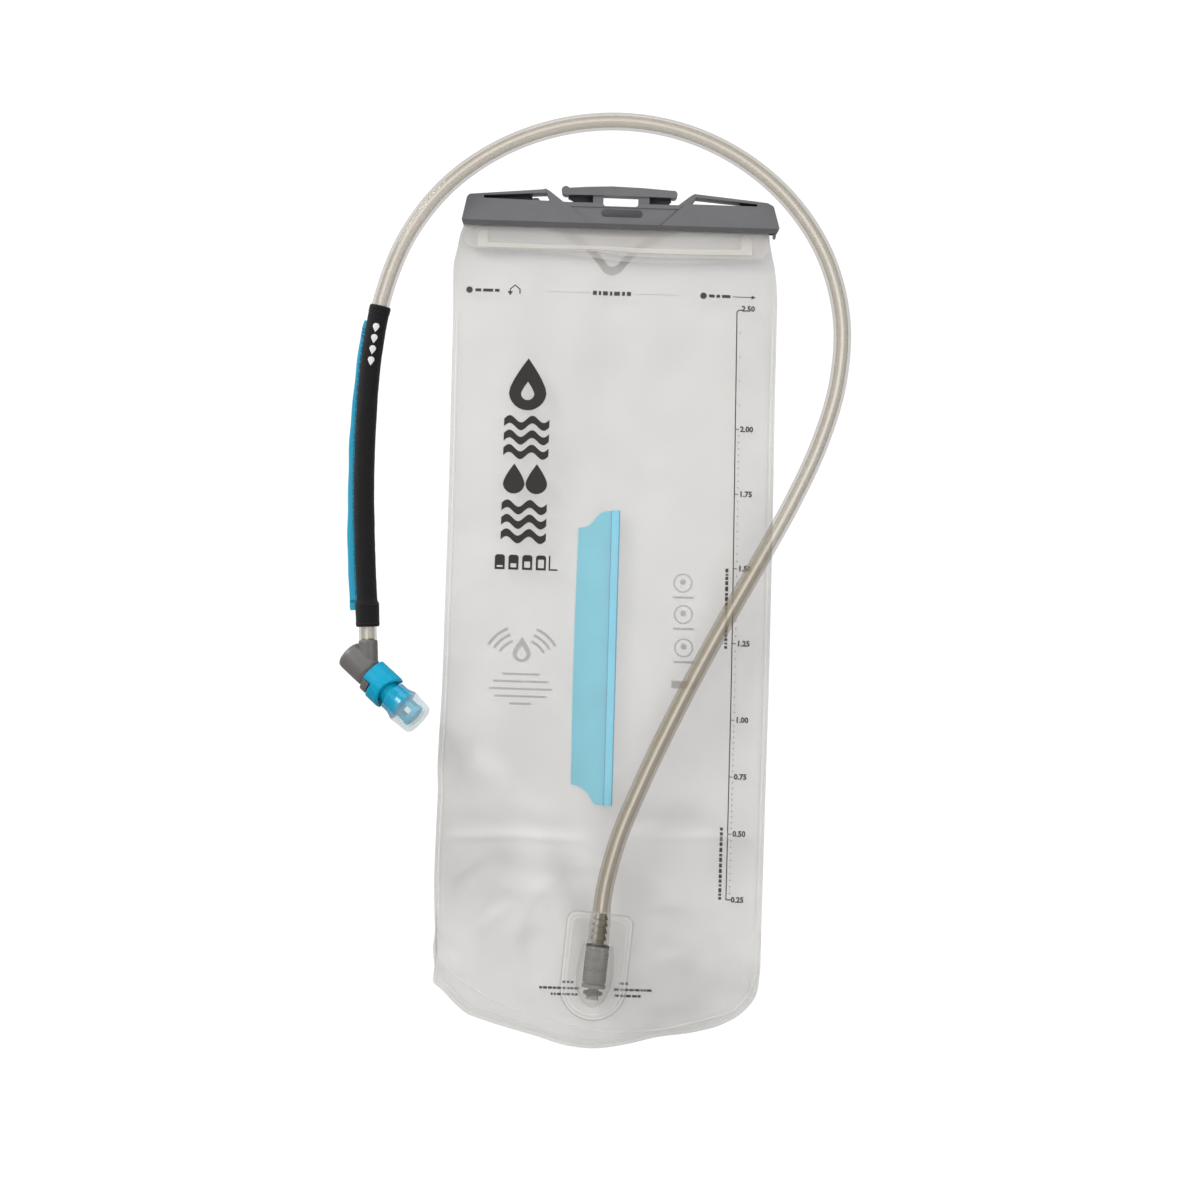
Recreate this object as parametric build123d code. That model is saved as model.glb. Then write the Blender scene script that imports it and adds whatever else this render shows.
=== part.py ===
from build123d import *
import math
import os

# Hydration bladder with its slider bar, outlet port, drink tube and bite valve.
# Millimetres, +Z up, -Y out of the front; seen from the front, +X is to the right.
# The origin is on the weld plane of the two films, inside the hanger slot of the bar.

os.makedirs("parts", exist_ok=True)

# bag films, either side of the weld plane y = 0
FILM_T = 0.5
DISH_LOW_OUT = 2.5          # outer face of the front film around the port
DISH_HIGH_OUT = 6.5         # outer face of the front film at mid height

# mouth of the bag, folded over to the front
FOLD_Y, FOLD_Z = -1.5, -8.0         # centre of the fold
FOLD_X0, FOLD_X1 = -82.0, 81.0
BACK_FOLD_R = 2.0                   # outer radius of the back film's fold
FRONT_FOLD_R = BACK_FOLD_R - FILM_T
LIP_FACE_Y = FOLD_Y - BACK_FOLD_R   # front face of the folded lips

# drink tube
TUBE_R = 9.5 / 2
TUBE_BORE_R = 6.4 / 2
TUBE_Y = -14.5
BARB_CLEAR = 0.03           # clearance of the tube cuffs over the barbs
TUBE_START = 21.0           # start of the run, along the port axis
TUBE_END = 33.0             # end of the run, along the neck axis

# sleeve on the tube
SLEEVE_R = 5.45
SLEEVE_BORE_R = TUBE_R + 0.04
SLEEVE_TOP_Z = -61.6
SLEEVE_END = 23.5           # lower end, along the neck axis

# port axis, tilted in XZ, pointing up out of the socket
PORT_TILT = 4.4
port_origin = Vector(0.44, -12.5, -400.5)
PORT_WINDOW_DROP = 24.8     # window into the bag, below the port origin

# neck axis of the bite valve, along the end of the tube
NECK_TILT = 3.2
neck_origin = Vector(-126.5, TUBE_Y, -258.66)
NECK_LEN = 18.0

# barrel axis of the bite valve, pointing at the bite cap
BARREL_DROP = 40.6
BARREL_FORWARD = 12.0
BARREL_BACK = 16.4          # from the rear end of the barrel to the neck axis

# ---------------------------------------------------------------------------
# axes
# ---------------------------------------------------------------------------
port_dir = Vector(math.sin(math.radians(PORT_TILT)), 0, math.cos(math.radians(PORT_TILT)))
port_axis = Plane(origin=port_origin, z_dir=port_dir)
port_plane = Plane(origin=port_origin, x_dir=(port_dir.Z, 0, -port_dir.X), z_dir=port_dir)

neck_dir = Vector(-math.sin(math.radians(NECK_TILT)), 0, math.cos(math.radians(NECK_TILT)))
neck_axis = Plane(origin=neck_origin, z_dir=neck_dir)

cos_drop = math.cos(math.radians(BARREL_DROP))
sin_drop = math.sin(math.radians(BARREL_DROP))
cos_forward = math.cos(math.radians(BARREL_FORWARD))
sin_forward = math.sin(math.radians(BARREL_FORWARD))
barrel_dir = Vector(cos_forward * cos_drop, -sin_forward, -cos_forward * sin_drop)
barrel_origin = neck_origin - barrel_dir * BARREL_BACK
barrel_axis = Plane(origin=barrel_origin, z_dir=barrel_dir)
barrel_plane = Plane(origin=barrel_origin, x_dir=(0, 1, 0), z_dir=barrel_dir)

# ---------------------------------------------------------------------------
# helpers
# ---------------------------------------------------------------------------
ON_BASE = (Align.CENTER, Align.CENTER, Align.MIN)


def save(name, shape):
    solids = shape.solids()
    out = solids[0] if len(solids) == 1 else Compound(children=list(solids))
    out.label = name
    export_step(out, f"parts/{name}.step")


def turned(profile, frame):
    """Revolve a closed (radius, height) profile about the z axis of a frame."""
    face = make_face(Plane.XZ * Polyline(*profile, close=True))
    return revolve(face, axis=Axis.Z, revolution_arc=360).moved(frame.location)


def o_ring(centre_r, wire_r, height, frame):
    return Torus(centre_r, wire_r).moved(Location((0, 0, height))).moved(frame.location)


def prism(sketch_plane, along, points, start, end):
    """Extrude a closed outline along a world axis from start to end."""
    face = make_face(sketch_plane * Polyline(*points, close=True))
    body = extrude(face, amount=end - start, dir=along)
    return body.moved(Location(Vector(*along) * start))


def prism_xz(points, y0, y1):
    return prism(Plane.XZ, (0, 1, 0), points, y0, y1)


def prism_yz(points, x0, x1):
    return prism(Plane.YZ, (1, 0, 0), points, x0, x1)


def prism_xy(points, z0, z1):
    return prism(Plane.XY, (0, 0, 1), points, z0, z1)


def o_ring_groove(centre, half_width, land_r, root_r):
    """Profile points of a groove, in rising height."""
    low, high = centre - half_width, centre + half_width
    return [(land_r, low), (root_r, low), (root_r, high), (land_r, high)]


# rows of barbs: start height of each crest, root and crest radius, length of the crest
PORT_BARBS = dict(starts=(3.7, 7.7, 11.7), root=3.6, crest=4.15, land=0.6)
NECK_BARBS = dict(starts=(24.5, 28.5), root=3.12, crest=3.5, land=0.5)
BARB_RISE = 0.1             # height over which a crest rises from the root


def barb_teeth(starts, root, crest, land):
    """Profile points of a row of barbs, in rising height."""
    points = []
    for start in starts:
        points += [(root, start - BARB_RISE), (crest, start), (crest, start + land)]
    return points


def barb_grip(starts, root, crest, land):
    """Bore of a cuff over a row of barbs, with clearance, in falling height."""
    gap = BARB_CLEAR
    points = []
    for start in reversed(starts):
        points += [(crest + gap, start + land + gap), (crest + gap, start - gap),
                   (root + gap, start - BARB_RISE - gap)]
    return points


# ---------------------------------------------------------------------------
# front and back films
# ---------------------------------------------------------------------------
# outline of the flat bag (x, z), from the top left corner down and round
BAG_OUTLINE = [
    (-83.6, -14.6), (-85.46, -19.27), (-87.31, -29.05), (-88.73, -35.58), (-88.9, -45.3),
    (-88.6, -56.1), (-88.0, -110), (-87.7, -164), (-87.85, -218), (-88.15, -272),
    (-88.78, -326), (-89.0, -369.5), (-88.2, -395.9), (-88.3, -405.7), (-87.6, -415.7),
    (-86.6, -423.4), (-82.32, -429.0), (-75.94, -435.8), (-69.5, -440.8), (-53.24, -446.4),
    (-32.0, -451.9), (-14.44, -456.4), (0.44, -457.6), (15.22, -455.4), (33.71, -450.8),
    (54.68, -446.8), (67.0, -443.0), (79.14, -436.0), (86.0, -427.6), (88.4, -417.6),
    (88.5, -396.3), (88.5, -363.9), (88.4, -320.7), (88.45, -266.7), (88.1, -212.6),
    (87.6, -158.6), (86.8, -104.6), (86.6, -72.2), (86.0, -45.2), (84.66, -34.5),
    (82.16, -23.7), (80.58, -14.6),
]

# outlines of the folded lips (x, z)
BACK_LIP = [
    (-82.0, -4.0), (-82.0, -19.6), (-82.0, -24.2), (-80.2, -27.6), (-74.2, -28.5),
    (-42, -28.3), (-10, -28.1), (0.8, -29.2), (38.5, -29.6), (73.6, -29.2), (78.4, -27.8),
    (81.0, -23.6), (81.0, -4.0),
]
FRONT_LIP = [
    (-82.0, -4.0), (-82.0, -25.2), (-79.4, -28.6), (-74.2, -29.5), (-31.6, -29.9),
    (0.9, -32.9), (38.6, -32.9), (73.6, -31.0), (79.0, -28.8), (81.0, -25.6), (81.0, -4.0),
]
FOLD_STEPS = 16
FOLD_BAG_Z = -17.0          # lower end of the fold on the bag side
FOLD_LIP_Z = -34.0          # lower end on the lip side, before the lip is trimmed


def rounded_face(half_width, z0, z1, corner_r, y):
    sketch = Plane.XZ * Pos(0, (z0 + z1) / 2) * RectangleRounded(
        2 * half_width, z1 - z0, corner_r)
    return sketch.face().moved(Location((0, y, 0)))


def dish(half_width, z0, z1, base_r, base_y, inset, top_r, top_y):
    """Loft from a rounded rectangle to a smaller one, inset on all sides."""
    return loft([
        rounded_face(half_width, z0, z1, base_r, base_y),
        rounded_face(half_width - inset, z0 + inset, z1 - inset, top_r, top_y)])


def folded_lip(outer_r, outline):
    """One film folded over to the front, its lip trimmed to an outline."""
    inner_r = outer_r - FILM_T
    angles = [math.pi * i / FOLD_STEPS for i in range(FOLD_STEPS + 1)]

    def arc(radius, steps):
        return [(FOLD_Y + radius * math.cos(a), FOLD_Z + radius * math.sin(a)) for a in steps]

    profile = ([(FOLD_Y + outer_r, FOLD_BAG_Z)] + arc(outer_r, angles)
               + [(FOLD_Y - outer_r, FOLD_LIP_Z), (FOLD_Y - inner_r, FOLD_LIP_Z)]
               + arc(inner_r, angles[::-1]) + [(FOLD_Y + inner_r, FOLD_BAG_Z)])
    return prism_yz(profile, FOLD_X0, FOLD_X1) & prism_xz(outline, -6.0, 3.0)


# shallow dish over the whole bag, with a deeper one above the port
dish_outer = (
    dish(half_width=79.5, z0=-445.5, z1=-42.0, base_r=14, base_y=-FILM_T,
         inset=3.5, top_r=12, top_y=-DISH_LOW_OUT)
    + dish(half_width=70.0, z0=-376.0, z1=-54.0, base_r=22, base_y=-DISH_LOW_OUT + 0.2,
           inset=24, top_r=8, top_y=-DISH_HIGH_OUT))
dish_inner = (
    dish(half_width=79.0, z0=-445.0, z1=-42.5, base_r=13.5, base_y=0.0,
         inset=3.6, top_r=11.6, top_y=-DISH_LOW_OUT + FILM_T)
    + dish(half_width=69.4, z0=-375.4, z1=-54.6, base_r=21.5,
           base_y=-DISH_LOW_OUT + FILM_T + 0.2,
           inset=24.2, top_r=7.6, top_y=-DISH_HIGH_OUT + FILM_T))

# hole through the front film and the port housing
window_frame = Plane(origin=port_origin - port_dir * PORT_WINDOW_DROP, z_dir=(0, 1, 0))
port_window = Cylinder(3.4, 14.0, align=ON_BASE).moved(window_frame.location)

front_film = prism_xz(BAG_OUTLINE, -FILM_T, 0) + dish_outer - dish_inner
save("front_panel", front_film + folded_lip(FRONT_FOLD_R, FRONT_LIP) - port_window)
save("back_panel", prism_xz(BAG_OUTLINE, 0, FILM_T) + folded_lip(BACK_FOLD_R, BACK_LIP))

# ---------------------------------------------------------------------------
# rails on the outside of the fold, trapped inside the slider bar
# ---------------------------------------------------------------------------
RAIL_INSET = 0.5            # rail ends, inside the ends of the fold
REAR_RAIL = [(0.5, -12.0), (2.3, -12.0), (2.6, -11.6), (2.2, -8.6), (0.5, -8.2)]  # (y, z)
front_rail_points = [(2 * FOLD_Y - y, z) for y, z in REAR_RAIL]
for name, points in (("rear_rail", REAR_RAIL), ("front_rail", front_rail_points)):
    save(name, prism_yz(points, FOLD_X0 + RAIL_INSET, FOLD_X1 - RAIL_INSET))

# ---------------------------------------------------------------------------
# lip stiffeners: long shallow U strips, one on the front face of the back film's
# lip and one behind the front film's lip
# ---------------------------------------------------------------------------
STIFFENER_T = 0.8
STIFFENER = [               # (x, z)
    (-75.9, -27.4), (-75.9, -20.2), (-74.0, -18.0), (-70.8, -18.0), (-70.8, -24.9),
    (66.2, -24.7), (66.2, -17.0), (69.8, -17.0), (71.7, -19.0), (71.7, -27.2),
]
save("lip_stiffener_rear", prism_xz(STIFFENER, LIP_FACE_Y - STIFFENER_T, LIP_FACE_Y))
inner_lip_y = LIP_FACE_Y + 2 * FILM_T
save("lip_stiffener_front", prism_xz([(x * 0.985, z - 0.2) for x, z in STIFFENER],
                                     inner_lip_y, inner_lip_y + STIFFENER_T))

# ---------------------------------------------------------------------------
# inner baffle: web on the back film, with a bead held in a track on the front film
# ---------------------------------------------------------------------------
BAFFLE_Z0, BAFFLE_Z1 = -326.4, -167.0
BAFFLE_X = 2.75
BEAD_R = 0.8
BEAD_INSET = 0.8            # bead ends, inside the ends of the track
track_y = -(DISH_HIGH_OUT - FILM_T)     # inner face of the front film
bead_y = track_y + 1.45

TRACK = [                   # C section (across, height above the film)
    (-2.1, 0), (2.1, 0), (2.1, 2.9), (0.7, 2.9), (0.7, 2.3), (1.4, 2.3), (1.4, 0.6),
    (-1.4, 0.6), (-1.4, 2.3), (-0.7, 2.3), (-0.7, 2.9), (-2.1, 2.9),
]
save("baffle_track", prism_xy([(BAFFLE_X + across, track_y + height) for across, height in TRACK],
                              BAFFLE_Z0, BAFFLE_Z1))

WEB_HALF_T = 0.25
WEB_OUTLINE = [             # (x, z)
    (4.2, -167.2), (-3.4, -167.9), (-8.2, -171.4), (-11.9, -175.4), (-17.2, -176.8),
    (-17.2, -315.8), (-13.0, -316.6), (-8.5, -319.4), (-5.2, -323.6), (-3.4, -325.9),
    (4.2, -325.9),
]
web_section = [
    (BAFFLE_X - WEB_HALF_T, bead_y), (BAFFLE_X + WEB_HALF_T, bead_y),
    (BAFFLE_X + WEB_HALF_T, track_y + 3.5), (-14.6, -0.5), (-14.6, 0.0), (-17.2, 0.0),
    (-17.2, -0.5), (-15.2, -0.55), (BAFFLE_X - WEB_HALF_T, track_y + 3.2),
]
bead = Cylinder(BEAD_R, BAFFLE_Z1 - BAFFLE_Z0 - 2 * BEAD_INSET, align=ON_BASE).moved(
    Location((BAFFLE_X, bead_y, BAFFLE_Z0 + BEAD_INSET)))
web = prism_xy(web_section, BAFFLE_Z0 + BEAD_INSET, BAFFLE_Z1 - 0.6)
save("baffle_web", (bead + web) & prism_xz(WEB_OUTLINE, -7, 1))

# ---------------------------------------------------------------------------
# port housing: flange plate and bullet-shaped socket, one moulding
# ---------------------------------------------------------------------------
PLATE_FRONT_Y = -3.7
PLATE_HALF_W = 17.8
PLATE_CORNER_R = 5
BULLET_R = 9.65
BULLET_NOSE_START = -16.0
BULLET_NOSE_LEN = 17.3
RIB_SIZE = (1.3, 5.0, 1.1)
RIB_COUNT, RIB_TOP, RIB_PITCH = 6, -7.0, 2.6


def port_xz(points):
    """Turn (across, along the port axis) points into (x, z)."""
    cos_tilt, sin_tilt = port_dir.Z, port_dir.X
    return [(port_origin.X + across * cos_tilt + along * sin_tilt,
             port_origin.Z - across * sin_tilt + along * cos_tilt) for across, along in points]


def port_plate_points():
    """Plate outline: two small top corners and a half round bottom."""
    corner_x = PLATE_HALF_W - PLATE_CORNER_R
    arcs = [                # centre across, centre along, first and last angle, radius, steps
        (corner_x, 11.0, 0, 90, PLATE_CORNER_R, 12),
        (-corner_x, 11.0, 90, 180, PLATE_CORNER_R, 12),
        (0, -23.8, 180, 360, PLATE_HALF_W, 24),
    ]
    points = []
    for across, along, first, last, radius, steps in arcs:
        for i in range(steps + 1):
            angle = math.radians(first + (last - first) * i / steps)
            points.append((across + radius * math.cos(angle), along + radius * math.sin(angle)))
    return points


def bullet_points():
    points = [(0, 0.0), (8.25, 0.0), (8.45, -1.2), (9.0, -6.0), (9.45, -11.0),
              (BULLET_R, BULLET_NOSE_START)]
    for degrees in range(6, 90, 6):
        angle = math.radians(degrees)
        points.append((BULLET_R * math.cos(angle) ** 0.92,
                       BULLET_NOSE_START - BULLET_NOSE_LEN * math.sin(angle)))
    return points + [(0.0, BULLET_NOSE_START - BULLET_NOSE_LEN)]


def port_housing():
    outline = port_plate_points()
    plate = prism_xz(port_xz(outline), PLATE_FRONT_Y, -DISH_LOW_OUT)
    raised = [(across * 0.93, (along + 13) * 0.95 - 13) for across, along in outline]
    raised_face = prism_xz(port_xz(raised), PLATE_FRONT_Y - 0.3, PLATE_FRONT_Y)
    pedestal = prism_xz(
        port_xz([(-6.5, 0.0), (6.5, 0.0), (7.2, -16), (5.0, -27), (-5.0, -27), (-7.2, -16)]),
        port_origin.Y + 2.0, PLATE_FRONT_Y + 0.2)
    housing = plate + raised_face + pedestal + turned(bullet_points(), port_axis)
    # grip ribs down both sides of the bullet
    for side in (-1, 1):
        for k in range(RIB_COUNT):
            bullet_r = 9.05 + 0.6 * min(1.0, k / 4)
            rib = Box(*RIB_SIZE).moved(
                Location((side * (bullet_r - 0.1), 0, RIB_TOP - RIB_PITCH * k)))
            housing = housing + rib.moved(port_plane.location)
    socket = turned([(0, 1.0), (7.1, 1.0), (6.9, -0.6), (6.5, -1.3), (6.5, -22.5), (6.0, -22.5),
                     (6.0, -25.6), (5.3, -27.2), (4.0, -29.5), (0, -29.5)], port_axis)
    return housing - socket - port_window


save("port_housing", port_housing())
save("valve_seat", turned([(4.0, -22.5), (6.5, -22.5), (6.5, -21.0), (4.4, -21.0)], port_axis))

# ---------------------------------------------------------------------------
# shut-off poppet, open while the plug is home, with its seal and spring
# ---------------------------------------------------------------------------
POPPET_TOP = -25.0
FIN_W, FIN_T, FIN_LEN = 5.8, 0.9, 4.45

fin_place = Location((0, 0, POPPET_TOP))
cross_fins = (Box(FIN_W, FIN_T, FIN_LEN, align=ON_BASE).moved(fin_place)
              + Box(FIN_T, FIN_W, FIN_LEN, align=ON_BASE).moved(fin_place))
poppet_disc = turned([(0, -26.4), (4.7, -26.4), (5.2, -26.0), (5.2, POPPET_TOP),
                      (4.95, POPPET_TOP), (4.95, -25.3), (4.0, -25.3), (4.0, POPPET_TOP),
                      (0, POPPET_TOP)], port_axis)
save("shutoff_poppet", poppet_disc + cross_fins.moved(port_plane.location))
save("poppet_seal", turned([(4.02, -25.28), (4.93, -25.28), (4.93, -24.75), (4.7, -24.62),
                            (4.25, -24.62), (4.02, -24.75)], port_axis))

SPRING_R, SPRING_WIRE_R, SPRING_TURNS = 3.1, 0.25, 3.0
SPRING_Z0, SPRING_Z1 = -29.22, -26.68
spring_len = SPRING_Z1 - SPRING_Z0
helix = Helix(pitch=spring_len / SPRING_TURNS, height=spring_len, radius=SPRING_R)
wire_section = Plane(origin=helix @ 0, z_dir=helix % 0) * Circle(SPRING_WIRE_R)
spring = sweep(wire_section, path=helix, is_frenet=True).moved(Location((0, 0, SPRING_Z0)))
save("poppet_spring", spring.moved(port_axis.location))

# ---------------------------------------------------------------------------
# hose plug with barbs, and its two O-rings
# ---------------------------------------------------------------------------
PLUG_R, PLUG_BORE_R = 6.35, 2.2
PLUG_GROOVES = (-12.7, -7.1)

plug_profile = [(4.0, -20.5), (5.6, -20.5), (PLUG_R, -19.4)]
for groove in PLUG_GROOVES:
    plug_profile += o_ring_groove(groove, half_width=0.9, land_r=PLUG_R, root_r=5.5)
plug_profile += [(PLUG_R, -0.8), (6.0, 0.4), (3.6, 0.4)]
plug_profile += barb_teeth(**PORT_BARBS)
plug_profile += [(3.3, 16.6), (2.9, 17.0), (PLUG_BORE_R, 17.0), (PLUG_BORE_R, -19.0),
                 (2.6, -19.6)]
save("hose_plug", turned(plug_profile, port_axis))
plug_rings = [o_ring(5.98, 0.46, groove, port_axis) for groove in PLUG_GROOVES]
save("plug_o_rings", plug_rings[0] + plug_rings[1])

# ---------------------------------------------------------------------------
# drink tube: from the port up the right side, over the top and down the left
# ---------------------------------------------------------------------------
TUBE_RUN = [                # centreline (x, z) at y = TUBE_Y, joined by tangent arcs
    (8.74, -345.99), (20.8, -313.86), (34.59, -282.41), (49.38, -251.43),
    (65.09, -220.9), (81.28, -190.63), (96.97, -160.09), (110.48, -128.55),
    (119.3, -95.42), (120.2, -61.21), (110.73, -28.36), (91.55, -0.05),
    (65.12, 21.7), (33.83, 35.57), (-0.04, 40.51), (-34.02, 36.35),
    (-65.84, 23.7), (-93.15, 3.09), (-113.33, -24.53), (-125.16, -56.66),
    (-130.48, -90.55), (-132.21, -124.83), (-132.22, -159.16), (-130.63, -193.46),
]


def tube_centreline():
    """Edges of the run: a spline, a chain of tangent arcs and a closing spline."""
    start = port_origin + port_dir * TUBE_START
    stations = [Vector(x, TUBE_Y, z) for x, z in TUBE_RUN]
    lead = ((stations[1] - stations[0]).normalized() * 0.6
            + (stations[0] - start).normalized() * 0.4)
    lead = Vector(lead.X, 0, lead.Z).normalized()
    edges = [Spline(start, stations[0], tangents=[port_dir, lead])]
    for station in stations[1:]:
        last = edges[-1]
        heading = last % 1
        edges.append(TangentArc(last @ 1, station, tangent=Vector(heading.X, 0, heading.Z)))
    last = edges[-1]
    end = neck_origin + neck_dir * TUBE_END
    edges.append(Spline(last @ 1, end, tangents=[last % 1, neck_dir * -1]))
    return edges


def hollow_run(outer_r, inner_r, edges):
    """Sweep a ring section along each edge in turn and join the lengths."""
    run = None
    for edge in edges:
        plane = Plane(origin=edge @ 0, z_dir=edge % 0)
        piece = (sweep(plane * Circle(outer_r), path=edge)
                 - sweep(plane * Circle(inner_r), path=edge))
        run = piece if run is None else run + piece
    return run


gap = BARB_CLEAR
port_cuff = [
    (PORT_BARBS["root"] + gap, 0.45), (5.3, 0.45), (5.6, 1.2), (5.7, 3.4), (5.75, 12.6),
    (5.2, 16.6), (TUBE_R, 19.4), (TUBE_R, TUBE_START), (TUBE_BORE_R, TUBE_START),
    (TUBE_BORE_R, 17.6), (3.3 + gap, 16.6 + 2 * gap),
] + barb_grip(**PORT_BARBS)
neck_cuff = [
    (NECK_BARBS["root"] + gap, NECK_LEN), (TUBE_R, NECK_LEN), (TUBE_R, TUBE_END),
    (TUBE_BORE_R, TUBE_END), (TUBE_BORE_R, 31.2),
] + barb_grip(**NECK_BARBS)

tube_edges = tube_centreline()
tube = hollow_run(TUBE_R, TUBE_BORE_R, tube_edges)
save("drink_tube", tube + turned(port_cuff, port_axis) + turned(neck_cuff, neck_axis))

# ---------------------------------------------------------------------------
# sleeve over the left run of the tube
# ---------------------------------------------------------------------------
SLEEVE_FIRST_EDGE = 20      # edge of the run that holds the top of the sleeve


def sleeve_centreline():
    """Edges of the run below SLEEVE_TOP_Z, which is found by bisection."""
    top_edge = tube_edges[SLEEVE_FIRST_EDGE]
    low, high = 0.0, 1.0
    for _ in range(40):
        middle = (low + high) / 2
        if (top_edge @ middle).Z > SLEEVE_TOP_Z:
            low = middle
        else:
            high = middle
    return [top_edge.trim(high, 1.0)] + tube_edges[SLEEVE_FIRST_EDGE + 1:]


sleeve_edges = sleeve_centreline()
sleeve_end = turned([(SLEEVE_BORE_R, SLEEVE_END), (SLEEVE_R, SLEEVE_END),
                     (SLEEVE_R, TUBE_END), (SLEEVE_BORE_R, TUBE_END)], neck_axis)
save("tube_sleeve", hollow_run(SLEEVE_R, SLEEVE_BORE_R, sleeve_edges) + sleeve_end)

# ---------------------------------------------------------------------------
# tape along the outer, -X side of the sleeve, widening downwards
# ---------------------------------------------------------------------------
TAPE_HALF_T = 0.7
TAPE_GAP = 0.16             # from the sleeve to the inner edge of the tape
TAPE_END_REACH = 5.9        # outer edge from the centreline, at both ends
TAPE_TOP_REACH, TAPE_SPREAD = 6.0, 2.8


def tape_outline():
    run = [(edge @ t, edge % t) for edge in sleeve_edges for t in (0.3, 0.8)]
    last = len(run) - 1
    inner, outer = [], []
    for i, (point, heading) in enumerate(run):
        side_x, side_z = heading.Z, -heading.X
        if side_x > 0:
            side_x, side_z = -side_x, -side_z
        reach = TAPE_TOP_REACH + TAPE_SPREAD * (i / last) ** 0.7
        if i in (0, last):
            reach = TAPE_END_REACH
        near = SLEEVE_R + TAPE_GAP
        inner.append((point.X + side_x * near, point.Z + side_z * near))
        outer.append((point.X + side_x * reach, point.Z + side_z * reach))
    return inner + outer[::-1]


save("sleeve_tape", prism_xz(tape_outline(), TUBE_Y - TAPE_HALF_T, TUBE_Y + TAPE_HALF_T))

# ---------------------------------------------------------------------------
# bite valve; heights run from the rear end of the barrel towards the bite cap
# ---------------------------------------------------------------------------
# angle about the barrel axis that faces the neck
neck_local = (barrel_plane.to_local_coords(neck_origin + neck_dir)
              - barrel_plane.to_local_coords(neck_origin))
neck_angle = math.degrees(math.atan2(neck_local.Y, neck_local.X))


def barrel_sector(mid_angle, half_angle, z0, z1):
    """Pie slice about the barrel axis, wider than any valve part."""
    reach = 30
    steps = int(half_angle / 10)
    points = [(0, 0)]
    for i in range(-steps, steps + 1):
        angle = math.radians(mid_angle + half_angle * i / steps)
        points.append((reach * math.cos(angle), reach * math.sin(angle)))
    return prism_xy(points, z0, z1).moved(barrel_plane.location)


def valve_body():
    """Barrel with a neck and barbed stem, and a tab on the side away from the neck."""
    barrel = turned([(0, 0.9), (5.2, 0.9), (6.4, 1.4), (7.2, 2.6), (7.2, 24.0), (0, 24.0)],
                    barrel_axis)
    # wider rear part, set a little towards the neck
    to_neck = (neck_dir - barrel_dir * neck_dir.dot(barrel_dir)).normalized()
    rear = turned([(0, 1.0), (6.7, 1.0), (7.6, 1.6), (8.0, 3.2), (8.0, 15.6), (7.4, 16.6),
                   (0, 16.6)], Plane(origin=barrel_origin + to_neck * 0.45, z_dir=barrel_dir))
    stem_r, shoulder = NECK_BARBS["root"], NECK_LEN - 0.05
    neck = turned([(0, -2.0), (5.1, -2.0), (5.1, NECK_LEN - 0.8), (4.6, shoulder),
                   (stem_r, shoulder)] + barb_teeth(**NECK_BARBS) + [(2.9, 31.0), (0, 31.0)],
                  neck_axis)
    body_bore = turned([(0, 2.4), (5.6, 2.4), (5.6, 25.0), (0, 25.0)], barrel_axis)
    neck_bore = turned([(0, 0.0), (2.2, 0.0), (2.2, 32.0), (0, 32.0)], neck_axis)
    tab_ring = turned([(7.1, 18.6), (9.2, 18.6), (9.2, 22.6), (7.1, 22.6)], barrel_axis)
    tab = tab_ring & barrel_sector(neck_angle + 180 - 50, 30.0, 18.0, 23.0)
    return barrel + rear + neck - body_bore - neck_bore + tab


save("valve_body", valve_body())
save("valve_end_cap", turned([(0, 0.0), (4.6, 0.0), (5.4, 0.25), (5.4, 0.88), (0, 0.88)],
                             barrel_axis))

GRIP_COUNT = 18
GRIP_R, GRIP_CENTRE_R = 0.55, 10.05


def twist_collar():
    """Part skirt on the side of the neck, full ring in front with grip grooves."""
    skirt = turned([(7.26, 17.8), (9.2, 17.8), (9.7, 18.6), (9.7, 23.4), (7.26, 23.4)],
                   barrel_axis) & barrel_sector(neck_angle, 95.0, 17.0, 23.6)
    full_ring = turned([(7.26, 23.2), (9.85, 23.2), (9.85, 32.2), (9.2, 33.3), (8.2, 33.3),
                        (7.6, 30.6), (6.52, 30.6), (6.52, 24.3), (7.26, 24.3)], barrel_axis)
    collar = skirt + full_ring
    for i in range(GRIP_COUNT):
        angle = math.radians(i * 360 / GRIP_COUNT)
        groove = Cylinder(GRIP_R, 12.0, align=ON_BASE).moved(Location(
            (GRIP_CENTRE_R * math.cos(angle), GRIP_CENTRE_R * math.sin(angle), 24.6)))
        collar = collar - groove.moved(barrel_plane.location)
    return collar


save("twist_collar", twist_collar())

CORE_R = 5.5
CORE_GROOVES = (7.7, 21.9)
core_profile = [(0, 2.9), (CORE_R, 2.9)]
for groove in CORE_GROOVES:
    core_profile += o_ring_groove(groove, half_width=0.7, land_r=CORE_R, root_r=4.8)
core_profile += [(CORE_R, 24.3), (6.5, 24.3), (6.5, 39.2), (5.9, 40.0), (0, 40.0)]
core_bore = turned([(0, 12.0), (3.0, 12.0), (3.0, 26.0), (4.6, 30.0), (4.6, 41.0), (0, 41.0)],
                   barrel_axis)
cross_bore = Cylinder(2.1, 8.0, align=ON_BASE).moved(neck_axis.location)
save("valve_core", turned(core_profile, barrel_axis) - core_bore - cross_bore)
core_rings = [o_ring(5.19, 0.38, groove, barrel_axis) for groove in CORE_GROOVES]
save("core_o_rings", core_rings[0] + core_rings[1])

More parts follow.
